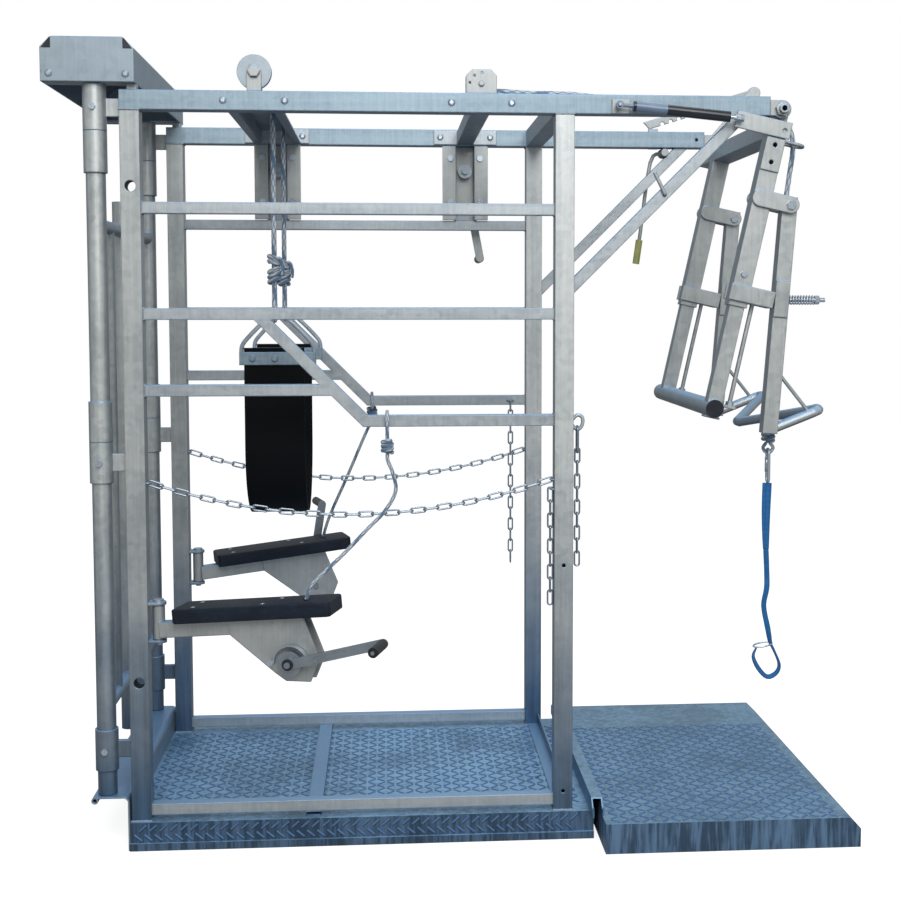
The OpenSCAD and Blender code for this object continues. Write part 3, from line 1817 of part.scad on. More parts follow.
// Each leg rope is tied in a ring round its rail
module leg_tie(k, z) {
    d = sign(k[1]);
    translate([k[0], 0, zf]) {
        translate([0, k[1], k[2]])
            knot(leg_knot_l, leg_rope_r);
        swept(smooth([[0, k[1], k[2] + leg_knot_l], [0, d * (yc + tie_r), z - tie_r * half],
            [0, d * (yc + tie_r), z + tie_r * half], [0, d * (yc + tie_r * half), z + tie_r],
            [0, d * (yc - tie_r * half), z + tie_r], [0, d * (yc - tie_r), z + tie_r * half],
            [0, d * (yc - tie_r), z - tie_r * half], [0, d * (yc - tie_r * half), z - tie_r]], 3),
            leg_rope_r, coil_sides, [1, 0, 0]);
    }
}

module leg_ropes() {
    color(cord_white) {
        swept(smooth(lift(near_rope), rope_steps), leg_rope_r, rope_sides, [0, 1, 0]);
        swept(smooth(lift(far_rope), rope_steps), leg_rope_r, rope_sides, [0, 1, 0]);
        leg_tie(near_knot, zr4 - zf);
        leg_tie(far_knot, zr4 - zf);
    }
}

module hind_rope() {
    color(cord_white)
        swept(smooth(lift(hind_route), rope_steps), rope_d / 2, rope_sides, [0, 1, 0]);
}

hook_at = [1124, -350, 1030];
hook_knot_l = 50;
hook_l = 78;
hook_w = 24;
hook_wire = 8;
dee_l = 22;
dee_w = 28;
dee_wire = 5;
strap_top = 868;
strap_wide = 13;
strap_thick = 2;
strap_line = [[1123, -350, 871], [1121, -350, 800], [1121, -350, 740], [1122, -350, 690]];
strap_tail = [[1122, -350, 690], [1126, -348, 620], [1125, -352, 580], [1118, -350, 532], [1130, -350, 470],
    [1137, -350, 432]];
tail_r = 7;
noose_r = 6;
noose = [[1137, -350, 432], [1098, -352, 415], [1090, -352, 392], [1104, -352, 360], [1130, -350, 334],
    [1156, -348, 344], [1164, -348, 368], [1150, -348, 404], [1139, -346, 426]];

// The hook is a rope knot, a spring clip and a ring for the strap
module hind_hook() {
    z0 = hook_at[2] + zf - hook_knot_l;
    color(steel)
        translate([hook_at[0], hook_at[1], 0]) {
            union() {
                translate([0, 0, z0])
                    knot(hook_knot_l, rope_d / 2);
                swept(smooth([[-leg_rope_r, 0, z0], [-loop_y, 0, z0 - loop_y], [0, 0, z0 - loop_y * 2],
                    [loop_y, 0, z0 - loop_y], [leg_rope_r, 0, z0]], 3), leg_rope_r, coil_sides, [0, 1, 0]);
            }
            translate([0, 0, z0 - loop_y * 2 + leg_rope_r + link_gap - hook_l / 2])
                rotate([0, 0, link_roll])
                    rotate([0, 90, 0])
                        ring_link(hook_l, hook_w / 2, hook_wire);
        }
}

module hind_strap() {
    color(strap_blue) {
        q = lift(strap_line);
        m = len(q);
        polyhedron(convexity = 4,
            points = [for (p = q) each [p + [-strap_wide, -strap_thick, 0], p + [strap_wide, -strap_thick, 0],
                p + [strap_wide, strap_thick, 0], p + [-strap_wide, strap_thick, 0]]],
            faces = concat([[3, 2, 1, 0]], [for (i = [0:m - 2]) for (k = [0:3])
                [i * 4 + k, i * 4 + (k + 1) % 4, (i + 1) * 4 + (k + 1) % 4, (i + 1) * 4 + k]],
                [[for (k = [0:3]) (m - 1) * 4 + k]]));
        swept(smooth(lift(strap_tail), rope_steps), tail_r, rope_sides, [0, 1, 0]);
        swept(smooth(lift(noose), rope_steps), noose_r, rope_sides, [0, 1, 0]);
    }
}

floor_plate();
floor_bearers();
front_posts();
rear_posts();
top_rails();
guard_rails();
cross_members();
braces();
platform();
cover_box();
gate_foot();
gate_brackets();
gate_leaf_near();
gate_leaf_far();
gate_lever();
gate_grip();
winch_carriers();
winch_hangers();
sheave_brackets();
belly_sheave();
hind_sheave();
frame_bolts();
belly_winch();
hind_winch();
hind_crank();
hind_crank_grip();
belly_belt();
belt_clamps();
belt_bails();
belt_ropes();
belt_knots();
rail_lugs();
tilt_frame();
hind_bolts();
hoof_springs();
hock_frame();
hock_caps();
hoof_frame();
strut_body();
strut_sleeve();
strut_rod();
tilt_rack();
release_lever();
release_grip();
rest_pins();
rest_near();
pad_near();
crank_near();
grip_near();
rest_far();
pad_far();
crank_far();
grip_far();
side_chain_near();
side_chain_far();
hang_chains();
leg_ropes();
hind_rope();
hind_hook();
hind_strap();
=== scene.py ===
"""Looks of the hoof trimming chute, laid out as an add-on and run as a script."""

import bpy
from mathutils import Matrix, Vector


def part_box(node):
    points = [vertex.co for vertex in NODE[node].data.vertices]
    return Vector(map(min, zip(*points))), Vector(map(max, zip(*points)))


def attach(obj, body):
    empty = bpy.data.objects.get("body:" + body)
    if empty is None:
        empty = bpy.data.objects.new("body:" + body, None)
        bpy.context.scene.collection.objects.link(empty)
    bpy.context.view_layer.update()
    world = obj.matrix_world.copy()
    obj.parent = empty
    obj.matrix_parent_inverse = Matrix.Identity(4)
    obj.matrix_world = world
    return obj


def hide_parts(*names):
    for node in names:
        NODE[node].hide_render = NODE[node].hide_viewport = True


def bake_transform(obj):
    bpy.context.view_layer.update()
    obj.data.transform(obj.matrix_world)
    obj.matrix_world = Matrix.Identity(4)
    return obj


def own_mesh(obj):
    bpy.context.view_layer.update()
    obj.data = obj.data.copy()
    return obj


bl_info = {
    "name": "Hoof trimming chute",
    "version": (1, 0, 0),
    "blender": (4, 5, 0),
    "location": "View3D > Sidebar > Chute",
    "description": "Dresses the packed chute with finishes, ropes, belt, pads, tread and welds",
    "category": "Object",
}

import math

import bmesh
import bpy
import numpy as np
from mathutils import Matrix, Vector

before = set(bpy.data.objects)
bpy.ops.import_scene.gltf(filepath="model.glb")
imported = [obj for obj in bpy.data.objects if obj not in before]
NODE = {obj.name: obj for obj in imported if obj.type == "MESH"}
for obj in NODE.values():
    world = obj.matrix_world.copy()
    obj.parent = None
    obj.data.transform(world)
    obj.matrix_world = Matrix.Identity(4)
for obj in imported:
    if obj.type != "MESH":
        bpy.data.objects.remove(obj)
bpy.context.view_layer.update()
MM = 0.001
FLOOR_Z = 0.075
FINISHES = {}


def linear(red, green, blue):
    """A colour from the 0 to 255 values that it shows on a screen."""
    shown = [c / 255 for c in (red, green, blue)]
    return tuple(c / 12.92 if c <= 0.04045 else ((c + 0.055) / 1.055) ** 2.4 for c in shown)


def shade(colour, *share):
    """A colour made lighter or darker, as a whole or in its red, green and blue."""
    return [v * k for v, k in zip(colour, share * 3 if len(share) == 1 else share)]


# Sizes and colours that a user would change


def colour(name, about, *shown):
    return bpy.props.FloatVectorProperty(
        name=name, description=about, subtype="COLOR", default=linear(*shown))


def number(name, about, value, **more):
    return bpy.props.FloatProperty(name=name, description=about, default=value, **more)


def metres(name, about, value):
    return number(name, about, value, unit="LENGTH")


class ChuteColours(bpy.types.PropertyGroup):
    """Base colours of the finishes"""

    zinc: colour("Zinc", "Clean galvanised tube", 196, 199, 197)
    # Dull zinc is also the base of the painted shade on the undersides and sides of the tubes.
    zinc_dull: colour("Dull zinc", "Streaks and stains on galvanised tube", 160, 166, 168)
    zinc_low: colour("Low zinc", "Galvanised tube near the ground", 76, 102, 128)
    tread: colour("Tread plate", "Top of the tread plate", 98, 127, 157)
    tread_dull: colour("Dull tread plate", "Stains on the tread plate", 66, 90, 114)
    rubber: colour("Rubber", "Belt and pads", 20, 25, 34)
    lime: colour("Lime grip", "Sleeve on the gate and release levers", 168, 170, 104)
    rope: colour("Rope", "Pale strands of the rope", 188, 200, 212)
    rope_fleck: colour("Rope fleck", "Marker strands of the rope", 82, 116, 154)
    webbing: colour("Webbing", "Hind leg strap", 22, 104, 168)


class ChuteSizes(bpy.types.PropertyGroup):
    """Sizes of the details that the scene adds"""

    lug_pitch: metres("Lug pitch", "Distance between tread lugs", 0.0265)
    lug_length: metres("Lug length", "Length of a tread lug", 0.026)
    lug_width: metres("Lug width", "Width of a tread lug", 0.0075)
    lug_height: metres("Lug height", "Height of a tread lug", 0.0016)
    bead_pitch: metres("Bead pitch", "Distance between weld ripples", 0.0034)
    bead_radius: metres("Bead radius", "Half width of a weld", 0.003)
    spring_wire: metres("Spring wire", "Half thickness of the spring wire", 0.002)
    spring_turns: bpy.props.IntProperty(name="Spring turns", description="Turns of a hoof spring", default=9)
    braid_relief: number("Braid relief", "How far the strands stand out, as a share of the radius", 0.07)


class ChuteStage(bpy.types.PropertyGroup):
    """Camera and light"""

    lens: number("Lens", "Focal length on a 36 mm sensor, in mm", 57.45)
    key_power: number("Key light", "Power of the large soft light in front", 230.0)
    fill_power: number("Top light", "Power of the light from above", 60.0)
    sky: number("Sky", "Strength of the light from all round", 0.42)


# Shader maths


class Tone:
    """One socket of a shader tree, on which arithmetic adds Math nodes."""

    def __init__(self, finish, socket):
        self.finish, self.socket = finish, socket

    def math(self, operation, a, b):
        node = self.finish.node("ShaderNodeMath", {"operation": operation}, {0: a, 1: b})
        return Tone(self.finish, node.outputs[0])

    def __add__(self, other):
        return self.math("ADD", self, other)

    __radd__ = __add__

    def __sub__(self, other):
        return self.math("SUBTRACT", self, other)

    def __rsub__(self, other):
        return self.math("SUBTRACT", other, self)

    def __mul__(self, other):
        return self.math("MULTIPLY", self, other)

    __rmul__ = __mul__

    def __mod__(self, other):
        return self.math("FLOORED_MODULO", self, other)

    def __rmod__(self, other):
        return self.math("FLOORED_MODULO", other, self)

    def above(self, other):
        return self.math("GREATER_THAN", self, other)

    def most(self, other):
        return self.math("MAXIMUM", self, other)


class Finish:
    """A procedural material built round one Principled shader."""

    def __init__(self, name, fixed):
        self.material = bpy.data.materials.new(name)
        self.material.use_nodes = True
        self.tree = self.material.node_tree
        self.shader = self.tree.nodes["Principled BSDF"]
        for label, value in fixed.items():
            self.shader.inputs[label].default_value = value
        FINISHES[name] = self.material

    def node(self, kind, choices=None, values=None):
        node = self.tree.nodes.new(kind)
        for label, value in (choices or {}).items():
            setattr(node, label, value)
        for label, value in (values or {}).items():
            self.feed(node.inputs[label], value)
        return node

    def feed(self, socket, value):
        if isinstance(value, Tone):
            self.tree.links.new(value.socket, socket)
        else:
            socket.default_value = value

    def paint(self, **values):
        for label, value in values.items():
            self.feed(self.shader.inputs[label.replace("_", " ")], value)
        return self.material

    def place(self, scale=(1, 1, 1), turn=(0, 0, 0)):
        """Coordinates, stretched and turned."""
        at = self.node("ShaderNodeTexCoord").outputs["Object"]
        values = {"Vector": Tone(self, at), "Scale": scale, "Rotation": turn}
        return Tone(self, self.node("ShaderNodeMapping", None, values).outputs[0])

    def split(self, vector, axis):
        node = self.node("ShaderNodeSeparateXYZ", None, {0: Tone(self, vector)})
        return Tone(self, node.outputs[axis])

    def part(self, axis, source="Object"):
        """One coordinate of the surface, in metres."""
        return self.split(self.node("ShaderNodeTexCoord").outputs[source], axis)

    def facing(self, axis, edge=0.0):
        """How far the surface faces along an axis, its edges rounded by a radius."""
        if edge:
            at = self.node("ShaderNodeBevel", {"samples": 6}, {"Radius": edge}).outputs[0]
        else:
            at = self.node("ShaderNodeNewGeometry").outputs["Normal"]
        return self.split(at, axis)

    def noise(self, at, scale, detail=4.0, rough=0.55, bend=0.0):
        node = self.node("ShaderNodeTexNoise", None, {
            "Vector": at, "Scale": scale, "Detail": detail, "Roughness": rough, "Distortion": bend})
        return Tone(self, node.outputs[0])

    def cells(self, at, scale):
        """A random value for each crystal."""
        node = self.node("ShaderNodeTexVoronoi", None, {"Vector": at, "Scale": scale})
        split = self.node("ShaderNodeSeparateColor", None, {0: Tone(self, node.outputs["Color"])})
        return Tone(self, split.outputs[0])

    def ease(self, value, low, high):
        """From 0 to 1 as the value goes from low to high, made smooth."""
        choice = {"interpolation_type": "SMOOTHSTEP"}
        node = self.node("ShaderNodeMapRange", choice, {0: value, 1: low, 2: high, 3: 0.0, 4: 1.0})
        return Tone(self, node.outputs[0])

    def mix(self, share, first, second):
        """From the first colour to the second."""
        node = self.node("ShaderNodeMix", {"data_type": "RGBA"})
        self.feed(node.inputs[0], share)
        for socket, colour in ((node.inputs[6], first), (node.inputs[7], second)):
            self.feed(socket, colour if isinstance(colour, Tone) else (*colour, 1.0))
        return Tone(self, node.outputs[2])

    def relief(self, height, strength, depth, edge=0.0):
        """A normal from a height, on edges rounded by a radius."""
        values = {"Height": height, "Strength": strength, "Distance": depth}
        if edge:
            bevel = self.node("ShaderNodeBevel", {"samples": 4}, {"Radius": edge})
            values["Normal"] = Tone(self, bevel.outputs[0])
        return Tone(self, self.node("ShaderNodeBump", None, values).outputs[0])


# Finishes

# EDGE rounds the edges of the bump and of the facing that places the painted sky reflection on top edges. The
# tints below are painted light: a sky-blue painted reflection on faces that look up, and painted shade on
# faces that look down, along -X and along +X.
EDGE = 0.006
PAINTED_SKY_ON_TOPS, PAINTED_SHADE_BELOW = (0.5, 0.84, 1.3), (0.2, 0.29, 0.4)
PAINTED_SHADE_LEFT, PAINTED_SHADE_RIGHT = (0.34, 0.46, 0.6), (0.42, 0.56, 0.7)
STRETCH = {"x": (1.2, 30, 30), "y": (30, 1.2, 30), "z": (30, 30, 1.2), "all": (9, 9, 9)}


def zinc(name, run, light, dull, low=None, metal=0.55, rough=0.44, spangle=70.0, streak=0.9):
    """Hot-dip zinc: crystals, streaks along the tube and cloudy stains, darker and bluer towards the floor
    where a low colour is given, with a painted sky reflection on faces that look up and painted shade on
    faces that look down or sideways.
    """
    f = Finish(name, {"Metallic": metal, "Specular IOR Level": 0.5})
    at = f.place()
    crystal = f.cells(at, spangle)
    cloud = f.noise(at, 5.0, 5.0)
    line = f.noise(f.place(STRETCH[run]), 1.0, 5.0, 0.6, 0.4)
    drips = f.noise(f.place((150, 150, 6)), 1.0, 3.0, 0.55)
    share = 0.58 + (crystal - 0.5) * 0.2 + (line - 0.5) * streak + (cloud - 0.5) * 0.7 + (drips - 0.5) * 0.6
    colour = f.mix(f.ease(share, 0.0, 1.0), dull, light)
    if low is not None:
        height = f.ease(f.part(2) + (cloud - 0.5) * 0.5, 0.0, 1.05)
        streaked = f.mix(f.ease(line, 0.35, 0.7), shade(low, 0.72), shade(low, 1.35))
        colour = f.mix(height, streaked, colour)
    # Painted light: a sky-blue painted reflection on faces and rounded top edges that look up, and painted
    # shade on faces that look down, along -X and along +X.
    up, along = f.facing(2, EDGE), f.facing(0)
    colour = f.mix(f.ease(up, 0.12, 0.72) * 0.85, colour, shade(light, *PAINTED_SKY_ON_TOPS))
    colour = f.mix(f.ease(up * -1.0, 0.12, 0.72) * 0.85, colour, shade(dull, *PAINTED_SHADE_BELOW))
    colour = f.mix(f.ease(along * -1.0, 0.5, 1.0) * 0.7, colour, shade(dull, *PAINTED_SHADE_LEFT))
    colour = f.mix(f.ease(along, 0.5, 1.0) * 0.45, colour, shade(dull, *PAINTED_SHADE_RIGHT))
    bumps = f.noise(at, 38.0, 3.0)
    return f.paint(
        Base_Color=colour,
        Roughness=rough + (cloud - 0.5) * 0.22 + (crystal - 0.5) * 0.1,
        Normal=f.relief(bumps + crystal * 0.25, 0.16, 0.0012, EDGE * 0.7))


def tread_zinc(name, top, dull, side, side_dull):
    """Tread plate: blue-grey on top, streaked at a slant on the folded sides; top and side colours are picked
    by facing, as painted light on the top and painted shade on the sides.
    """
    f = Finish(name, {"Metallic": 0.55, "Specular IOR Level": 0.5})
    at = f.place()
    crystal = f.cells(at, 85.0)
    cloud = f.noise(at, 4.5, 5.0, 0.6)
    slant = f.noise(f.place((70, 70, 5), (0, math.radians(24), 0)), 1.0, 5.0, 0.62, 0.6)
    flat = f.mix(f.ease(cloud + (crystal - 0.5) * 0.3, 0.25, 0.72), dull, top)
    sides = f.mix(f.ease(slant + (cloud - 0.5) * 0.5, 0.36, 0.66), side_dull, side)
    # Painted light: faces that look up take the lighter top colours, and the folded sides take the darker
    # side colours as painted shade.
    colour = f.mix(f.ease(f.facing(2), 0.4, 0.9), sides, flat)
    return f.paint(
        Base_Color=colour,
        Roughness=0.42 + (cloud - 0.5) * 0.25,
        Normal=f.relief(f.noise(at, 60.0, 3.0), 0.2, 0.001, 0.0012))


def bright_steel(name, colour, rough=0.3, metal=0.9, grain=(220, 220, 220)):
    """Zinc-plated or turned steel with fine tool marks."""
    f = Finish(name, {"Metallic": metal})
    mark = f.noise(f.place(grain), 1.0, 3.0)
    stain = f.noise(f.place(), 22.0, 4.0)
    tone = f.mix(f.ease(stain + (mark - 0.5) * 0.5, 0.2, 0.8), shade(colour, 0.8), colour)
    return f.paint(
        Base_Color=tone,
        Roughness=rough + (mark - 0.5) * 0.2 + (stain - 0.5) * 0.15,
        Normal=f.relief(mark, 0.08, 0.0005, 0.0008))


def black_rubber(name, colour, grain, rough=0.56, scuff=0.5, shine=0.42):
    """Moulded rubber with a fine grain, dusty scuffs and worn edges."""
    f = Finish(name, {"Metallic": 0.0, "Specular IOR Level": shine})
    at = f.place()
    fine = f.noise(at, grain, 3.0)
    dust = f.noise(f.place((9, 9, 26)), 1.0, 6.0, 0.68, 0.8)
    scrape = f.noise(f.place((4, 60, 60), (0.2, 0.1, 0.3)), 1.0, 4.0)
    share = f.ease(dust * 0.7 + scrape * 0.3, 0.42, 0.78) * scuff
    tone = f.mix(share, colour, [add + c * 1.5 for add, c in zip((0.03, 0.045, 0.065), colour)])
    return f.paint(
        Base_Color=tone,
        Roughness=rough + (dust - 0.5) * 0.3,
        Normal=f.relief(fine + dust * 0.6, 0.35, 0.0009, 0.0015))


def plastic(name, colour, rough=0.38, grain=160.0, coat=0.0):
    """Moulded plastic or paint with a light texture and rubbed places."""
    f = Finish(name, {"Metallic": 0.0, "Coat Weight": coat, "Coat Roughness": 0.12})
    at = f.place()
    fine = f.noise(at, grain, 2.0)
    rub = f.noise(at, 30.0, 5.0, 0.6)
    tone = f.mix(f.ease(rub, 0.35, 0.75), shade(colour, 0.78), [c * 1.12 + 0.004 for c in colour])
    return f.paint(
        Base_Color=tone,
        Roughness=rough + (rub - 0.5) * 0.25,
        Normal=f.relief(fine, 0.2, 0.0005, 0.0012))


def braided(name, pale, fleck, lay):
    """Rope cover: crossing strands, a marker strand in each direction, and painted shade in the grooves
    between the strands.
    """
    f = Finish(name, {"Metallic": 0.0, "Sheen Weight": 0.25, "Specular IOR Level": 0.3})
    around, along = f.part(0, "UV"), f.part(1, "UV")
    right = (around * 4.0 + along * (1 / lay)) % 1.0
    left = (around * 4.0 - along * (1 / lay)) % 1.0
    turn_r = (around + along * (0.25 / lay)) % 1.0
    turn_l = (around - along * (0.25 / lay)) % 1.0
    marked_r = turn_r.above(0.52) * (1.0 - turn_r.above(0.74))
    marked_l = turn_l.above(0.18) * (1.0 - turn_l.above(0.3))
    over = marked_r.most(marked_l)
    check = f.ease(right * (1.0 - right) * 4.0, 0.0, 0.9) * f.ease(left * (1.0 - left) * 4.0, 0.0, 0.9)
    soil = f.noise(f.place(), 60.0, 4.0)
    body = f.mix(over, pale, fleck)
    # Painted shade: the grooves between the strands are darkened.
    rope_with_groove_shade = f.mix(f.ease(check, 0.0, 0.75), shade(pale, 0.34), body)
    tone = f.mix(f.ease(soil, 0.45, 0.8) * 0.45, rope_with_groove_shade, shade(pale, 0.5))
    return f.paint(
        Base_Color=tone,
        Roughness=0.72 + (soil - 0.5) * 0.2,
        Normal=f.relief(f.noise(f.place(), 900.0, 2.0), 0.3, 0.0004))


def webbing(name, colour, pick):
    """Woven strap: rows of picks across and ribs along, with painted shade in the grooves between them."""
    f = Finish(name, {"Metallic": 0.0, "Sheen Weight": 0.3, "Specular IOR Level": 0.35})
    across, along = f.part(0, "UV"), f.part(1, "UV")
    row = (along * (1 / pick)) % 1.0
    rib = (across * 9.0) % 1.0
    weave = row * (1.0 - row) * 4.0 * 0.6 + rib * (1.0 - rib) * 4.0 * 0.4
    worn = f.noise(f.place(), 45.0, 5.0)
    # Painted shade: the grooves between the picks and the ribs are darkened.
    weave_with_groove_shade = f.mix(f.ease(weave, 0.1, 0.9), shade(colour, 0.45), colour)
    tone = f.mix(f.ease(worn, 0.5, 0.85) * 0.5, weave_with_groove_shade, [c * 1.5 + 0.03 for c in colour])
    return f.paint(
        Base_Color=tone, Roughness=0.66 + (worn - 0.5) * 0.2, Normal=f.relief(weave, 0.5, 0.0006))


def make_finishes():
    """All finishes, from the scene's colours."""
    c = bpy.context.scene.chute_colours
    light, dull, low = tuple(c.zinc), tuple(c.zinc_dull), tuple(c.zinc_low)
    blue, blue_dull = shade(light, 0.95, 0.99, 1.04), shade(dull, 0.93, 0.98, 1.05)
    zinc("zinc_post", "z", light, dull, low)
    zinc("zinc_rear", "z", shade(light, 1.22), shade(dull, 1.2), low)
    zinc("zinc_rail", "x", blue, blue_dull)
    zinc("zinc_top", "x", shade(light, 0.64, 0.79, 0.92), shade(dull, 0.56, 0.7, 0.84))
    zinc("zinc_cross", "y", blue, blue_dull, shade(low, 0.8))
    zinc("zinc_sheet", "all", shade(light, 0.66, 0.76, 0.86), shade(dull, 0.7, 0.82, 0.94),
         None, 0.5, 0.4, 42.0, 0.5)
    zinc("zinc_gate", "z", shade(light, 1.15), dull, low)
    zinc("zinc_leg", "z", light, dull, None, 0.5, 0.42, 60.0, 0.6)
    zinc("zinc_plate", "all", shade(light, 0.9), shade(dull, 0.92), None, 0.5, 0.46, 50.0, 0.5)
    zinc("zinc_weld", "all", light, shade(dull, 0.7), None, 0.6, 0.5, 160.0, 0.6)
    tread, tread_dull = tuple(c.tread), tuple(c.tread_dull)
    # The tread's top colours are made several times lighter than its side colours, as painted light on the
    # tops and painted shade on the sides.
    tread_zinc("tread_floor", shade(tread, 2.75, 2.75, 2.5), shade(tread_dull, 3.1, 3.1, 2.8),
               tread, shade(tread_dull, 0.8))
    tread_zinc("tread_platform", shade(tread, 2.1, 2.1, 1.9), shade(tread_dull, 2.6, 2.6, 2.3),
               shade(tread, 1.35), shade(tread_dull, 0.95))
    zinc("tread_lug", "all", shade(tread, 1.35), shade(tread, 1.05), None, 0.5, 0.4, 120.0, 0.5)
    bright_steel("plated_bolt", linear(196, 208, 220), 0.3, 0.75)
    bright_steel("plated_chain", linear(168, 180, 192), 0.34)
    bright_steel("bright_rod", linear(214, 220, 226), 0.16, 1.0, (300, 40, 40))
    bright_steel("strut_tube", linear(120, 138, 160), 0.42, 0.35, (300, 40, 40))
    bright_steel("plated_winch", linear(158, 168, 176), 0.4, 0.8)
    black_rubber("belt_rubber", shade(c.rubber, 0.2), 420.0, 0.75, 0.03, 0.16)
    black_rubber("pad_rubber", shade(c.rubber, 0.7, 1.0, 1.3), 300.0, 0.52, 0.4, 0.3)
    plastic("grip_black", linear(20, 24, 30), 0.42)
    plastic("strut_paint", linear(10, 18, 32), 0.3, 260.0, 0.3)
    plastic("cap_black", linear(26, 32, 42), 0.36)
    plastic("lime_sleeve", tuple(c.lime), 0.45, 120.0)
    braided("rope_leg", tuple(c.rope), tuple(c.rope_fleck), LEG_LAY)
    braided("rope_belt", tuple(c.rope), tuple(c.rope_fleck), ROPE_LAY)
    webbing("blue_webbing", tuple(c.webbing), 0.0032)


FINISH_OF = {
    "tread_floor": ("floor_plate", "floor_bearers"),
    "tread_platform": ("platform",),
    "zinc_post": ("front_posts",),
    "zinc_rear": ("rear_posts",),
    "zinc_rail": ("guard_rails", "braces"),
    "zinc_top": ("top_rails", "belt_clamps"),
    "zinc_cross": ("cross_members", "winch_carriers"),
    "zinc_sheet": ("cover_box", "gate_foot"),
    "zinc_gate": ("gate_leaf_near", "gate_leaf_far", "gate_brackets", "gate_lever"),
    "zinc_leg": ("tilt_frame", "hock_frame", "hoof_frame"),
    "zinc_plate": ("winch_hangers", "sheave_brackets", "rail_lugs", "rest_near", "rest_far", "tilt_rack",
                   "release_lever", "hind_crank"),
    "plated_winch": ("belly_sheave", "hind_sheave", "belly_winch", "hind_winch", "crank_near", "crank_far"),
    "plated_bolt": ("frame_bolts", "hind_bolts", "rest_pins", "belt_bails", "hoof_springs"),
    "plated_chain": ("side_chain_near", "side_chain_far", "hang_chains"),
    "bright_rod": ("strut_rod",),
    "strut_tube": ("strut_body",),
    "strut_paint": ("strut_sleeve",),
    "cap_black": ("hock_caps",),
    "grip_black": ("grip_near", "grip_far", "hind_crank_grip"),
    "lime_sleeve": ("gate_grip", "release_grip"),
    "belt_rubber": ("belly_belt",),
    "pad_rubber": ("pad_near", "pad_far"),
    "rope_leg": ("leg_ropes",),
    "rope_belt": ("belt_ropes", "belt_knots", "hind_rope", "hind_hook"),
    "blue_webbing": ("hind_strap",),
}


def coat(obj, finish):
    """The object shows one finish alone."""
    obj.data.materials.clear()
    obj.data.materials.append(FINISHES[finish])
    return obj


def belongs(obj, body, node=None):
    """The node that the piece stands for, if any, hidden, and the body that it moves with."""
    if node:
        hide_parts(node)
    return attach(obj, body)


# Mesh helpers

ROPE_SIDES = 20


def curve_through(points):
    """Smooth line through places, as the part's source draws it, in four steps from one to the next."""
    p = np.array(points, float)
    ends = np.vstack([p[:1], p, p[-1:]])
    line = []
    for i in range(len(p) - 1):
        a, b, c, d = ends[i:i + 4]
        for t in (0.0, 0.25, 0.5, 0.75):
            line.append((2 * b + (c - a) * t + (2 * a - 5 * b + 4 * c - d) * t ** 2
                         + (3 * b - a - 3 * c + d) * t ** 3) / 2)
    return np.array(line + [p[-1]])


def curve_beside(x, y, points):
    """Smooth line through places that are given from an upright line."""
    return curve_through([(x + a, y + b, c) for a, b, c in points])


def distances(line):
    """How far along a line each of its places is."""
    return np.concatenate([[0], np.cumsum(np.linalg.norm(np.diff(line, axis=0), axis=1))])


def even(line, step):
    """The same line with places at equal steps."""
    far = distances(line)
    count = max(3, int(round(far[-1] / step)) + 1)
    at = np.linspace(0, far[-1], count)
    return np.column_stack([np.interp(at, far, line[:, k]) for k in range(3)])


def length_of(line):
    return float(np.linalg.norm(np.diff(line, axis=0), axis=1).sum())


def rings(line, start=None):
    """Sideways directions along a line, carried on without twist."""
    run = np.gradient(line, axis=0)
    run /= np.linalg.norm(run, axis=1)[:, None]
    if start is None:
        start = (0, 1, 0) if abs(run[0][1]) < 0.9 else (1, 0, 0)
    side = np.array(start, float)
    sides = []
    for t in run:
        side = side - t * (side @ t)
        side = side / np.linalg.norm(side)
        sides.append(side)
    sides = np.array(sides)
    return sides, np.cross(run, sides)


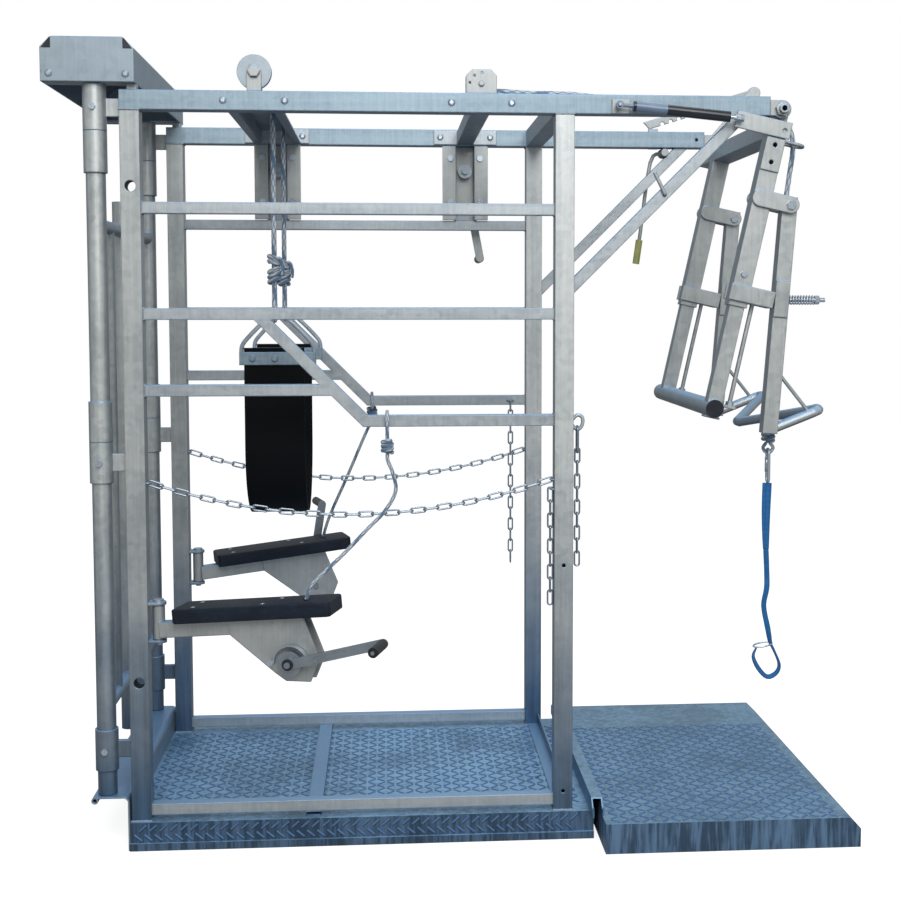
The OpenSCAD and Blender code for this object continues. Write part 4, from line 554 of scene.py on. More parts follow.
class Shell:
    """Points, faces and UVs of a piece while it is put together."""

    def __init__(self):
        self.points, self.faces, self.marks = [], [], []

    def sweep(self, line, section, start=None):
        """A closed section carried along a line; section(i, far) gives its places sideways and up."""
        a, b = rings(line, start)
        far = distances(line)
        base = len(self.points)
        n = 0
        for i, p in enumerate(line):
            ring = section(i, far[i])
            n = len(ring)
            self.points += [tuple(p + a[i] * u + b[i] * w) for u, w in ring]
        last = len(line) - 1
        for i in range(last):
            for k in range(n):
                j = (k + 1) % n
                q = base + i * n
                self.faces.append((q + k, q + j, q + n + j, q + n + k))
                u0, u1 = k / n, (k + 1) / n
                self.marks.append(((u0, far[i]), (u1, far[i]), (u1, far[i + 1]), (u0, far[i + 1])))
        for i, order in ((0, range(n - 1, -1, -1)), (last, range(n))):
            self.faces.append(tuple(base + i * n + k for k in order))
            self.marks.append(tuple((k / n, far[i]) for k in order))
        return self

    def rope(self, line, radius, lay, relief):
        """A braided rope with strands that stand out."""
        angle = np.arange(ROPE_SIDES) * 2 * math.pi / ROPE_SIDES

        def section(_, far):
            p, q = 4 * angle + 2 * math.pi * far / lay, 4 * angle - 2 * math.pi * far / lay
            r = radius * (1 - relief * 0.5 + relief * np.cos(p) * np.cos(q))
            return np.column_stack([r * np.cos(angle), r * np.sin(angle)])

        return self.sweep(even(line, lay / 7), section)

    def rod(self, line, radius, sides, start=None):
        """A plain round rod."""
        angle = np.arange(sides) * 2 * math.pi / sides
        ring = np.column_stack([radius * np.cos(angle), radius * np.sin(angle)])
        return self.sweep(np.array(line, float), lambda i, far: ring, start)

    def face(self, *corners):
        self.faces.append(corners)
        self.marks.append(((0.0, 0.0),) * len(corners))

    def prism(self, outline, near, far):
        """An upright outline of places along X and Z, in mm, thick along Y."""
        base, n = len(self.points), len(outline)
        self.points += [(x * MM, y * MM, z * MM) for y in (near, far) for x, z in outline]
        self.face(*range(base, base + n))
        self.face(*range(base + 2 * n - 1, base + n - 1, -1))
        for k in range(n):
            j = (k + 1) % n
            self.face(base + k, base + n + k, base + n + j, base + j)

    def turned(self, at, profile, sides=28):
        """A closed profile of radii and places along Y, in mm, turned about an axle at X and Z."""
        base, n = len(self.points), len(profile)
        for i in range(sides):
            a = i * 2 * math.pi / sides
            self.points += [((at[0] + r * math.cos(a)) * MM, y * MM, (at[1] + r * math.sin(a)) * MM)
                            for r, y in profile]
        for i in range(sides):
            p, q = base + i * n, base + (i + 1) % sides * n
            for k in range(n):
                j = (k + 1) % n
                self.face(p + k, p + j, q + j, q + k)
        return self

    def move(self, matrix):
        self.points = [tuple(matrix @ Vector(p)) for p in self.points]
        return self

    def make(self, name, finish, smooth=True):
        mesh = bpy.data.meshes.new(name)
        mesh.from_pydata([tuple(map(float, p)) for p in self.points], [], self.faces)
        layer = mesh.uv_layers.new(name="UVMap")
        flat = [uv for face in self.marks for uv in face]
        layer.data.foreach_set("uv", np.array(flat, np.float32).ravel())
        tidy = bmesh.new()
        tidy.from_mesh(mesh)
        bmesh.ops.recalc_face_normals(tidy, faces=tidy.faces)
        tidy.to_mesh(mesh)
        tidy.free()
        mesh.polygons.foreach_set("use_smooth", [smooth] * len(mesh.polygons))
        return finish_mesh(name, mesh, finish)


def finish_mesh(name, mesh, finish):
    obj = bpy.data.objects.new(name, mesh)
    bpy.context.scene.collection.objects.link(obj)
    return coat(obj, finish)


# Geometry Nodes


class Grower:
    """A geometry tree with named sizes, whose result becomes a plain mesh."""

    def __init__(self, name, **sizes):
        self.tree = bpy.data.node_groups.new(name, "GeometryNodeTree")
        face = self.tree.interface
        face.new_socket("Geometry", in_out="INPUT", socket_type="NodeSocketGeometry")
        self.key = {}
        for label, value in sizes.items():
            socket = face.new_socket(label, in_out="INPUT", socket_type="NodeSocketFloat")
            socket.default_value = value
            self.key[label] = socket.identifier
        face.new_socket("Geometry", in_out="OUTPUT", socket_type="NodeSocketGeometry")
        self.entry = self.tree.nodes.new("NodeGroupInput")
        self.exit = self.tree.nodes.new("NodeGroupOutput")

    def size(self, label):
        return self.entry.outputs[label]

    def add(self, kind, choices=None, values=None):
        node = self.tree.nodes.new(kind)
        for label, value in (choices or {}).items():
            setattr(node, label, value)
        for label, value in (values or {}).items():
            if isinstance(value, bpy.types.NodeSocket):
                self.tree.links.new(value, node.inputs[label])
            else:
                node.inputs[label].default_value = value
        return node.outputs[0]

    def geo(self, kind, **values):
        """A geometry node, its inputs given by name."""
        return self.add("GeometryNode" + kind, None, {k.replace("_", " "): v for k, v in values.items()})

    def math(self, operation, *values):
        return self.add("ShaderNodeMath", {"operation": operation}, dict(enumerate(values)))

    def close(self, socket, finish):
        real = self.geo("RealizeInstances", Geometry=socket)
        paint = self.geo("SetMaterial", Geometry=real, Material=FINISHES[finish])
        self.tree.links.new(paint, self.exit.inputs[0])
        return self

    def grow(self, name, mesh, finish, **sizes):
        """One piece from the tree, on the given mesh."""
        seed = bpy.data.objects.new(name + "_seed", mesh)
        bpy.context.scene.collection.objects.link(seed)
        modifier = seed.modifiers.new("Grow", "NODES")
        modifier.node_group = self.tree
        for label, value in sizes.items():
            modifier[self.key[label]] = value
        depsgraph = bpy.context.evaluated_depsgraph_get()
        grown = bpy.data.meshes.new_from_object(seed.evaluated_get(depsgraph))
        grown.name = name
        seed.modifiers.clear()
        bpy.data.objects.remove(seed)
        return finish_mesh(name, grown, finish)


def dots(places, turns=None):
    """A mesh of loose points, each with a turn where turns are given."""
    mesh = bpy.data.meshes.new("dots")
    mesh.from_pydata([tuple(map(float, p)) for p in places], [], [])
    if turns:
        field = mesh.attributes.new("turn", "FLOAT_VECTOR", "POINT")
        field.data.foreach_set("vector", np.array(turns, np.float32).ravel())
    return mesh


def lug_tree():
    """A pointed tread lug at each dot, turned as the dot says."""
    g = Grower("tread_lugs", Length=0.026, Width=0.0075, Height=0.0016)
    half = g.math("MULTIPLY", g.size("Length"), 0.5)
    back = g.math("MULTIPLY", g.size("Length"), -0.5)
    start = g.add("ShaderNodeCombineXYZ", None, {0: back})
    end = g.add("ShaderNodeCombineXYZ", None, {0: half})
    line = g.geo("CurvePrimitiveLine", Start=start, End=end)
    steps = g.geo("ResampleCurve", Curve=line, Count=5)
    swell = g.math("SINE", g.math("MULTIPLY", g.geo("SplineParameter"), math.pi))
    fat = g.geo("SetCurveRadius", Curve=steps, Radius=g.math("MAXIMUM", swell, 0.08))
    spoke = g.math("MULTIPLY", g.size("Width"), 0.5)
    ring = g.geo("CurvePrimitiveCircle", Resolution=6, Radius=spoke)
    body = g.geo("CurveToMesh", Curve=fat, Profile_Curve=ring, Fill_Caps=True)
    low = g.math("DIVIDE", g.size("Height"), spoke)
    press = g.add("ShaderNodeCombineXYZ", None, {0: 1.0, 1: 1.0, 2: low})
    flat = g.geo("Transform", Geometry=body, Scale=press)
    soft = g.geo("SetShadeSmooth", Geometry=flat, Shade_Smooth=True)
    turn = g.add("GeometryNodeInputNamedAttribute", {"data_type": "FLOAT_VECTOR"}, {"Name": "turn"})
    spin = g.add("FunctionNodeEulerToRotation", None, {0: turn})
    put = g.geo("InstanceOnPoints", Points=g.size("Geometry"), Instance=soft, Rotation=spin)
    return g.close(put, "tread_lug")


def bead_tree():
    """Weld ripples along the edges of a wire mesh."""
    g = Grower("weld_beads", Pitch=0.0034, Radius=0.003)
    line = g.geo("MeshToCurve", Mesh=g.size("Geometry"))
    steps = g.add("GeometryNodeResampleCurve", {"mode": "LENGTH"}, {"Curve": line, "Length": g.size("Pitch")})
    ball = g.geo("MeshUVSphere", Segments=8, Rings=5, Radius=g.size("Radius"))
    soft = g.geo("SetShadeSmooth", Geometry=ball, Shade_Smooth=True)
    vary = g.add("FunctionNodeRandomValue", {"data_type": "FLOAT_VECTOR"}, {
        0: (0.75, 0.75, 0.75), 1: (1.15, 1.15, 1.15), "Seed": 7})
    return g.close(g.geo("InstanceOnPoints", Points=steps, Instance=soft, Scale=vary), "zinc_weld")


def spring_tree():
    """A round-wire spring along X."""
    g = Grower("hoof_spring", Length=0.08, Radius=0.011, Wire=0.002, Turns=9.0)
    coil = g.geo("CurveSpiral", Resolution=28, Rotations=g.size("Turns"), Start_Radius=g.size("Radius"),
                 End_Radius=g.size("Radius"), Height=g.size("Length"))
    ring = g.geo("CurvePrimitiveCircle", Resolution=10, Radius=g.size("Wire"))
    wire = g.geo("CurveToMesh", Curve=coil, Profile_Curve=ring, Fill_Caps=True)
    soft = g.geo("SetShadeSmooth", Geometry=wire, Shade_Smooth=True)
    lay = g.geo("Transform", Geometry=soft, Rotation=(0, math.pi / 2, 0))
    return g.close(g.geo("InstanceOnPoints", Points=g.size("Geometry"), Instance=lay), "plated_bolt")


# Operators


class CHUTE_OT_stage(bpy.types.Operator):
    """Camera at the photograph's place, pale floor and soft light"""

    bl_idname = "chute.stage"
    bl_label = "Stage"
    eye, dip, turn, shift = (0.0918, -4.1695, 1.4337), 0.0723, -0.0777, (-0.054, -0.0474)
    key_at, key_size, top_at, top_size = (0.7, -5.0, 4.6), 3.6, (0.3, 0.4, 5.2), 3.0
    aim = Vector((0.2, 0.0, 0.9))
    sky_tint, floor_greys, floor_glow, floor_half = (0.93, 0.97, 1.0, 1.0), (0.42, 0.44), 0.84, 14.0

    def execute(self, context):
        stage = context.scene.chute_stage
        data = bpy.data.cameras.new("camera")
        data.lens, data.sensor_width = stage.lens, 36.0
        data.shift_x, data.shift_y = self.shift
        data.clip_end = 100.0
        camera = bpy.data.objects.new("camera", data)
        camera.location = self.eye
        camera.rotation_euler = (math.pi / 2 - self.dip, 0.0, self.turn)
        context.scene.collection.objects.link(camera)
        context.scene.camera = camera
        context.scene.view_settings.view_transform = "Standard"
        self.sky(context.scene, stage.sky)
        self.lamp("key", stage.key_power, self.key_at, self.key_size)
        self.lamp("top", stage.fill_power, self.top_at, self.top_size)
        self.floor()
        return {"FINISHED"}

    def sky(self, scene, strength):
        """White where it is seen, softer where it lights or is mirrored."""
        world = bpy.data.worlds.new("sky")
        world.use_nodes = True
        tree = world.node_tree
        tree.nodes.clear()
        out = tree.nodes.new("ShaderNodeOutputWorld")
        mix = tree.nodes.new("ShaderNodeMixShader")
        path = tree.nodes.new("ShaderNodeLightPath")
        soft, white = tree.nodes.new("ShaderNodeBackground"), tree.nodes.new("ShaderNodeBackground")
        soft.inputs[0].default_value, soft.inputs[1].default_value = self.sky_tint, strength
        white.inputs[0].default_value, white.inputs[1].default_value = (1.0, 1.0, 1.0, 1.0), 1.0
        tree.links.new(path.outputs["Is Camera Ray"], mix.inputs[0])
        tree.links.new(soft.outputs[0], mix.inputs[1])
        tree.links.new(white.outputs[0], mix.inputs[2])
        tree.links.new(mix.outputs[0], out.inputs[0])
        scene.world = world

    def lamp(self, name, power, place, size):
        data = bpy.data.lights.new(name, "AREA")
        data.shape, data.size, data.energy = "SQUARE", size, power
        lamp = bpy.data.objects.new(name, data)
        lamp.location = place
        lamp.rotation_euler = (self.aim - Vector(place)).to_track_quat("-Z", "Y").to_euler()
        bpy.context.scene.collection.objects.link(lamp)

    def floor(self):
        """A pale floor that glows white to the camera, less where the object shades it."""
        f = Finish("studio_floor", {"Roughness": 0.9, "Specular IOR Level": 0.1})
        greys = [(grey,) * 3 for grey in self.floor_greys]
        f.paint(Base_Color=f.mix(f.noise(f.place(), 0.6, 2.0), *greys))
        white = (1.0, 1.0, 1.0, 1.0)
        glow = f.node("ShaderNodeEmission", None, {"Color": white, "Strength": self.floor_glow})
        both = f.node("ShaderNodeAddShader")
        f.tree.links.new(glow.outputs[0], both.inputs[0])
        f.tree.links.new(f.shader.outputs[0], both.inputs[1])
        seen = f.node("ShaderNodeMixShader")
        f.tree.links.new(f.node("ShaderNodeLightPath").outputs["Is Camera Ray"], seen.inputs[0])
        f.tree.links.new(f.shader.outputs[0], seen.inputs[1])
        f.tree.links.new(both.outputs[0], seen.inputs[2])
        f.tree.links.new(seen.outputs[0], f.tree.nodes["Material Output"].inputs[0])
        mesh = bpy.data.meshes.new("floor")
        far, low = self.floor_half, -0.001
        corners = [(-far, -far, low), (far, -far, low), (far, far, low), (-far, far, low)]
        mesh.from_pydata(corners, [], [(0, 1, 2, 3)])
        finish_mesh("studio_floor", mesh, "studio_floor")


def lifted(points):
    """Places above the floor plate, from millimetres to metres."""
    return [(x * MM, y * MM, z * MM + FLOOR_Z) for x, y, z in points]


# Routes from the part's source, in mm above the floor plate
NEAR_ROPE = [(-118, -500, 600), (-100, -492, 640), (-20, -455, 712), (40, -436, 772), (85, -428, 817),
             (113, -424, 868), (106, -424, 915), (93, -424, 948), (92, -424, 964)]
FAR_ROPE = [(-118, 500, 600), (-96, 492, 670), (-36, 450, 806), (28, 427, 955), (43, 424, 976),
            (44, 424, 990)]
HIND_ROUTE = [(356, -393, 1909), (410, -386, 1909), (470, -362, 1909), (557, -356, 1909), (630, -354, 1904),
              (1000, -350, 1862), (1120, -350, 1850), (1158, -350, 1840), (1176, -350, 1812),
              (1181, -350, 1770), (1172, -350, 1700), (1160, -350, 1600), (1142, -350, 1370),
              (1132, -350, 1210), (1126, -350, 1110), (1124, -350, 1060), (1124, -350, 1030.3)]
STRAP_LINE = [(1123, -350, 871), (1121, -350, 800), (1121, -350, 740), (1122, -350, 690)]
STRAP_TAIL = [(1122, -350, 690), (1126, -348, 620), (1125, -352, 580), (1118, -350, 532), (1130, -350, 470),
              (1137, -350, 432)]
NOOSE = [(1137, -350, 432), (1098, -352, 415), (1090, -352, 392), (1104, -352, 360), (1130, -350, 334),
         (1156, -348, 344), (1164, -348, 368), (1150, -348, 404), (1139, -346, 426)]
# Places and sizes of the belt, the ropes and the rails, in metres
BELT_X, BELT_R, BELT_TURN, BELT_TOP = -0.206, 0.195, 1.034, 1.312
BELT_W, BELT_T, BELT_ASIDE = 0.164, 0.012, 0.009
LEG_R, ROPE_R, LEG_LAY, ROPE_LAY, KNOT_LAY = 0.005, 0.007, 0.024, 0.032, 0.03
KNOT = 0.0138, 0.0064
RAIL_Y, LOW_RAIL_Z = 0.395, 1.126


def coil(centre, low, high, radius, wire, turns, phase=0.0, lean=0.0):
    """The line of a rope wound round an upright rope."""
    t = np.linspace(0, 1, int(turns * 18) + 1)
    a = phase + t * turns * 2 * math.pi
    x, y = centre[0] + radius * np.cos(a), centre[1] + radius * np.sin(a)
    z = low + wire + t * (high - low - 2 * wire) + lean * radius * np.cos(a)
    return np.column_stack([x, y, z])


def free_cord(obj, slot, node, line, diameter, far_end, lay, **carried):
    """Hides the node that a cord stands for, if any; the cord, its line, its slot and what it carries are not
    used.
    """
    if node:
        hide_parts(node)


class CHUTE_OT_leg_ropes(bpy.types.Operator):
    """Ropes from the leg rest winches up to the low rails, with their knots"""

    bl_idname = "chute.leg_ropes"
    bl_label = "Leg ropes"
    knot_long, knot_ring, knot_aside = 0.044, 0.024, 0.029

    def execute(self, context):
        relief = context.scene.chute_sizes.braid_relief
        for side, route in (("near", NEAR_ROPE), ("far", FAR_ROPE)):
            line = even(curve_through(lifted(route)), 0.0035)
            rope = Shell().rope(line, LEG_R, LEG_LAY, relief).make(f"leg_rope_{side}", "rope_leg")
            knot = self.knot(side, line[-1], relief)
            free_cord(rope, "rope", "leg_ropes", line, 2 * LEG_R, "knot", "hanging", with_pieces=[knot])
            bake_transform(rope)
        return {"FINISHED"}

    def knot(self, side, at, relief):
        """A wound knot under the rail and a loop over it."""
        out = -1 if side == "near" else 1
        top = at[2] + self.knot_long
        shell = Shell()
        shell.rope(np.array([at, (at[0], at[1], top)]), LEG_R, LEG_LAY, relief)
        shell.rope(coil(at, at[2], top, 0.0118, 0.0064, 2.9), 0.0062, 0.026, relief)
        ring, beside = self.knot_ring, out * (RAIL_Y + self.knot_aside)
        loop = [(0, beside, top), (0, beside, LOW_RAIL_Z)]
        for k in range(1, 9):
            a = k * math.radians(33)
            loop.append((0, out * (RAIL_Y + ring * math.cos(a)), LOW_RAIL_Z + ring * math.sin(a)))
        shell.rope(curve_beside(at[0], 0, loop), LEG_R, LEG_LAY, relief)
        return belongs(shell.make(f"leg_knot_{side}", "rope_leg"), "crate")


class CHUTE_OT_belt_ropes(bpy.types.Operator):
    """Ropes from the belly winch to the belt's bails, with their knots"""

    bl_idname = "chute.belt_ropes"
    bl_label = "Belt ropes"
    low, high, apex, aside = 1.482, 1.568, 1.404, 0.007

    def execute(self, context):
        relief = context.scene.chute_sizes.braid_relief
        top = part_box("belt_ropes")[1]
        for side, out in (("near", -1), ("far", 1)):
            x, y = BELT_X - self.aside, out * BELT_R
            line = even(np.array([(x, y, top.z), (x, y, self.low)]), 0.0045)
            rope = Shell().rope(line, ROPE_R, ROPE_LAY, relief).make(f"belt_rope_{side}", "rope_belt")
            knot = self.knot(side, x, y, relief)
            free_cord(rope, "rope", "belt_ropes", line, 2 * ROPE_R, "knot", "taut", with_pieces=[knot])
            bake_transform(rope)
        return {"FINISHED"}

    def knot(self, side, x, y, relief):
        """A loop through the bail and a knot of crossing turns over it."""
        low, high, apex, step, r = self.low, self.high, self.apex, 0.014, 0.0065
        loop = [(0, -r, low), (0, -r, low - step), (0, -step, apex + step), (0, -step, apex),
                (0, 0, apex - step * 1.25), (0, step, apex), (0, step, apex + step), (0, r, low - step),
                (0, r, low)]
        shell = Shell()
        shell.rope(curve_beside(x, y, loop), r, KNOT_LAY, relief)
        around, wire = KNOT
        shell.rope(coil((x, y), low, high - 0.03, around, wire, 3.2, 0.4, 0.25), wire, KNOT_LAY, relief)
        shell.rope(coil((x, y), high - 0.034, high, around, wire, 1.7, 2.6, -0.55), wire, KNOT_LAY, relief)
        tail = [(0.012, -0.006, high - 0.012), (0.02, -0.012, high - 0.02), (0.024, -0.014, high - 0.04),
                (0.022, -0.013, high - 0.058)]
        shell.rope(curve_beside(x, y, tail), 0.0062, KNOT_LAY, relief)
        return belongs(shell.make(f"belt_knot_{side}", "rope_belt"), "sling", "belt_knots")


class CHUTE_OT_hind_rope(bpy.types.Operator):
    """Hind rope along the near rail and down, its clip and the webbing strap"""

    bl_idname = "chute.hind_rope"
    bl_label = "Hind rope and strap"
    knot_long, ring_at, ring_wire = 0.05, (1.1165, -0.350, 0.424 + FLOOR_Z), 0.0024
    bend_top, bend_foot = (1.176, -0.350, 1.9), (1.150, -0.350, 1.56)

    def execute(self, context):
        relief = context.scene.chute_sizes.braid_relief
        at = np.array(lifted(HIND_ROUTE)[-1])
        line = np.vstack([curve_through(lifted(HIND_ROUTE)), at - (0, 0, self.knot_long)])
        line = even(line, 0.0045)
        rope = Shell().rope(line, ROPE_R, ROPE_LAY, relief).make("hind_rope_braid", "rope_belt")
        hook = self.hook(at, relief)
        free_cord(rope, "rope", "hind_rope", line, 2 * ROPE_R, "fitting", "hanging", with_pieces=[*hook])
        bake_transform(rope)
        self.strap()
        return {"FINISHED"}

    def hook(self, at, relief):
        """A knot with a small loop, and the snap clip that hangs in it."""
        low = at[2] - self.knot_long
        shell = Shell()
        shell.rope(coil(at, low, at[2], *KNOT, 3.3), KNOT[1], KNOT_LAY, relief)
        step, r = 0.014, 0.005
        loop = [(-r, 0, low), (-step, 0, low - step), (0, 0, low - 2 * step), (step, 0, low - step),
                (r, 0, low)]
        shell.rope(curve_beside(at[0], at[1], loop), r, LEG_LAY, relief)
        knot = belongs(shell.make("hind_knot", "rope_belt"), "hind_gate", "hind_hook")
        clip = Shell()
        middle, wire, half, wide = low - 2 * step + r + 0.0004 - 0.039, 0.004, 0.039, 0.012
        ring = []
        for k in range(41):
            a = math.radians(100) + k * math.radians(335) / 40
            up = half - wide / 2 if math.sin(a) > 0 else -(half - wide / 2)
            ring.append((at[0], at[1] + wide * math.cos(a), middle + up + wide * math.sin(a)))
        clip.rod(even(np.array(ring), 0.003), wire, 14, (1, 0, 0))
        x, y = at[0], at[1] + wide
        clip.rod(np.array([(x, y, middle - 0.018), (x, y, middle + 0.022)]), 0.0052, 14)
        return knot, belongs(clip.make("hind_clip", "plated_bolt"), "hind_gate")

    def strap(self):
        """Folded flat webbing, the narrow tail under it, and the noose through a steel ring."""
        flat = even(curve_through(lifted(STRAP_LINE)), 0.004)
        long = length_of(flat)

        def ribbon(i, far):
            share = far / long
            wide = 0.013 - 0.0045 * share ** 2
            thick = 0.0026 + 0.0012 * share
            ripple = 0.0005 * math.sin(far * 420)
            return webbing_section(wide, thick + ripple)

        upper = Shell().sweep(flat, ribbon, (1, 0, 0)).make("hind_strap_flat", "blue_webbing")
        free_cord(upper, "blue_webbing", None, flat, 0.026, "object", "hanging")
        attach(upper, "hind_gate")
        route = lifted(STRAP_TAIL) + lifted(NOOSE)[:0:-1]
        tail = even(curve_through(route), 0.003)
        total = length_of(tail)

        def narrow(i, far):
            share = far / total
            turn = 0.5 * math.sin(far * 26) + (0.9 if share > 0.55 else 0.9 * (share / 0.55) ** 3)
            ring = np.array(webbing_section(0.0075, 0.0028))
            c, q = math.cos(turn), math.sin(turn)
            return np.column_stack([ring[:, 0] * c - ring[:, 1] * q, ring[:, 0] * q + ring[:, 1] * c])

        lower = Shell().sweep(tail, narrow, (1, 0, 0)).make("hind_strap_tail", "blue_webbing")
        free_cord(lower, "blue_webbing", "hind_strap", tail, 0.015, "fitting", "hanging",
                  with_pieces=[self.ring()])
        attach(lower, "hind_gate")

    def ring(self):
        """The oval steel ring that the noose runs through."""
        a = np.linspace(0, 2 * math.pi, 49)
        rise = 0.004 * np.cos(a) + 0.0035 * np.sin(a)
        line = np.column_stack([0.026 * np.cos(a), 0.010 * np.sin(a), rise]) + np.array(self.ring_at)
        ring = Shell().rod(line, self.ring_wire, 12, (0, 0, 1)).make("noose_ring", "plated_bolt")
        return belongs(ring, "hind_gate")


def webbing_section(wide, thick):
    """A flat strap's section with rounded selvedges."""
    edge = thick * 0.7
    slope, full, hollow = thick * 0.7, thick, thick * 0.86
    bottom = [(-wide + edge * 0.3, -slope), (-wide + edge, -full), (-wide / 3, -hollow),
              (wide / 3, -hollow), (wide - edge, -full), (wide - edge * 0.3, -slope)]
    top = [(x, -y) for x, y in reversed(bottom)]
    return [(-wide, 0), *bottom, (wide, 0), *top]


class CHUTE_OT_belt(bpy.types.Operator):
    """Rubber belly belt with rounded edges"""

    bl_idname = "chute.belt"
    bl_label = "Belly belt"
    edge, waves = 0.003, ((0.0012, 23, 0), (0.0008, 51, 1))

    def execute(self, context):
        straight = BELT_TOP - BELT_TURN
        line = [(0, -BELT_R, BELT_TOP - straight * k / 14) for k in range(14)]
        line += [(0, BELT_R * math.cos(a), BELT_TURN + BELT_R * math.sin(a))
                 for a in np.linspace(math.pi, 2 * math.pi, 41)]
        line += [(0, BELT_R, BELT_TURN + straight * k / 14) for k in range(1, 15)]
        line = np.array(line) + (BELT_X - BELT_ASIDE, 0, 0)
        w, t, edge = BELT_W / 2, BELT_T / 2, self.edge
        corners = [(w - edge, t - edge, 0), (-w + edge, t - edge, 90), (-w + edge, -t + edge, 180),
                   (w - edge, -t + edge, 270)]

        def section(i, far):
            curl = sum(size * math.sin(far * rate + lag) for size, rate, lag in self.waves)
            ring = []
            for cx, cy, start in corners:
                for a in (0, 30, 60, 90):
                    q = math.radians(start + a)
                    x, y = cx + edge * math.cos(q), cy + edge * math.sin(q)
                    ring.append((x - 0.0007, y + curl * (x / w) ** 2 * 0.5))
            return ring

        belt = Shell().sweep(line, section, (1, 0, 0)).make("belly_belt_rubber", "belt_rubber")
        smooth_by_angle(belt)
        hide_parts("belly_belt")
        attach(belt, "sling")
        return {"FINISHED"}


def smooth_by_angle(obj, angle=40.0):
    """Sharp edges stay sharp, the rest is smooth."""
    obj.data.polygons.foreach_set("use_smooth", [True] * len(obj.data.polygons))
    obj.data.set_sharp_from_angle(angle=math.radians(angle))


REST_AT = {"near": (Vector((-0.5075, -0.395, 0.581)), -15.0), "far": (Vector((-0.5075, 0.395, 0.581)), 15.0)}
REST_RISE = 5.0


def at_rest_pad(side):
    """From a leg rest's own frame to the part's."""
    place, yaw = REST_AT[side]
    flip = Matrix.Scale(1 if side == "near" else -1, 4, (0, 1, 0))
    return (Matrix.Translation(place) @ Matrix.Rotation(math.radians(yaw), 4, "Z") @ flip
            @ Matrix.Rotation(math.radians(-REST_RISE), 4, "Y"))


class CHUTE_OT_pads(bpy.types.Operator):
    """Rubber plank pads of the leg rests, with their screws"""

    bl_idname = "chute.pads"
    bl_label = "Leg rest pads"
    outline = [(58, -43), (66, -51), (478, -51), (486, -43), (486, 60), (478, 68), (66, 68), (58, 60)]
    low, high, hole_x, hole_r, soft_edge = 20, 58, 410, 9, 0.0045
    screws = [(110, -24), (110, 42), (300, -24), (330, 42)]

    def execute(self, context):
        for side in ("near", "far"):
            pad = self.plank(side)
            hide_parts(f"pad_{side}")
            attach(pad, f"leg_rest_{side}")
            self.heads(side)
        return {"FINISHED"}

    def plank(self, side):
        work = bmesh.new()
        floor = [work.verts.new((x * MM, y * MM, self.low * MM)) for x, y in self.outline]
        face = work.faces.new(floor)
        top = bmesh.ops.extrude_face_region(work, geom=[face])
        up = [v for v in top["geom"] if isinstance(v, bmesh.types.BMVert)]
        bmesh.ops.translate(work, verts=up, vec=(0, 0, (self.high - self.low) * MM))
        bmesh.ops.recalc_face_normals(work, faces=work.faces)
        bmesh.ops.bevel(work, geom=work.edges[:], offset=self.soft_edge, segments=4, profile=0.6,
                        affect="EDGES")
        bmesh.ops.triangulate(work, faces=[f for f in work.faces if len(f.verts) > 4])
        mesh = bpy.data.meshes.new(f"pad_{side}_rubber")
        work.to_mesh(mesh)
        work.free()
        pad = finish_mesh(f"pad_{side}_rubber", mesh, "pad_rubber")
        drill = bmesh.new()
        radius = self.hole_r * MM
        bmesh.ops.create_cone(drill, cap_ends=True, segments=28, radius1=radius, radius2=radius, depth=0.2)
        bmesh.ops.translate(drill, verts=drill.verts, vec=(self.hole_x * MM, 0, 0))
        tool_mesh = bpy.data.meshes.new("drill")
        drill.to_mesh(tool_mesh)
        drill.free()
        tool = bpy.data.objects.new("drill", tool_mesh)
        bpy.context.scene.collection.objects.link(tool)
        cut = pad.modifiers.new("Hole", "BOOLEAN")
        cut.operation, cut.object, cut.solver = "DIFFERENCE", tool, "EXACT"
        depsgraph = bpy.context.evaluated_depsgraph_get()
        done = bpy.data.meshes.new_from_object(pad.evaluated_get(depsgraph))
        pad.modifiers.clear()
        pad.data = done
        bpy.data.objects.remove(tool)
        done.transform(at_rest_pad(side))
        if side == "far":
            done.flip_normals()
        coat(pad, "pad_rubber")
        smooth_by_angle(pad, 50)
        return pad

    def heads(self, side):
        """Countersunk screw heads in the pad's top."""
        shell, n = Shell(), 20
        move = at_rest_pad(side)
        rows = [(6.2, -0.8), (6.2, 0.3), (5.2, 0.7), (2.6, 0.7), (2.2, -0.4)]
        last = (len(rows) - 1) * n
        for x, y in self.screws:
            base = len(shell.points)
            for r, up in rows:
                for a in np.arange(n) * math.pi / 10:
                    place = Vector((x + r * math.cos(a), y + r * math.sin(a), self.high + up)) * MM
                    shell.points.append(tuple(move @ place))
            for row in range(base, base + last, n):
                for k in range(n):
                    j = (k + 1) % n
                    shell.face(row + k, row + j, row + n + j, row + n + k)
            shell.face(*range(base, base + n))
            shell.face(*range(base + last, base + last + n))
        heads = shell.make(f"pad_screws_{side}", "plated_bolt")
        smooth_by_angle(heads)
        belongs(heads, f"leg_rest_{side}")


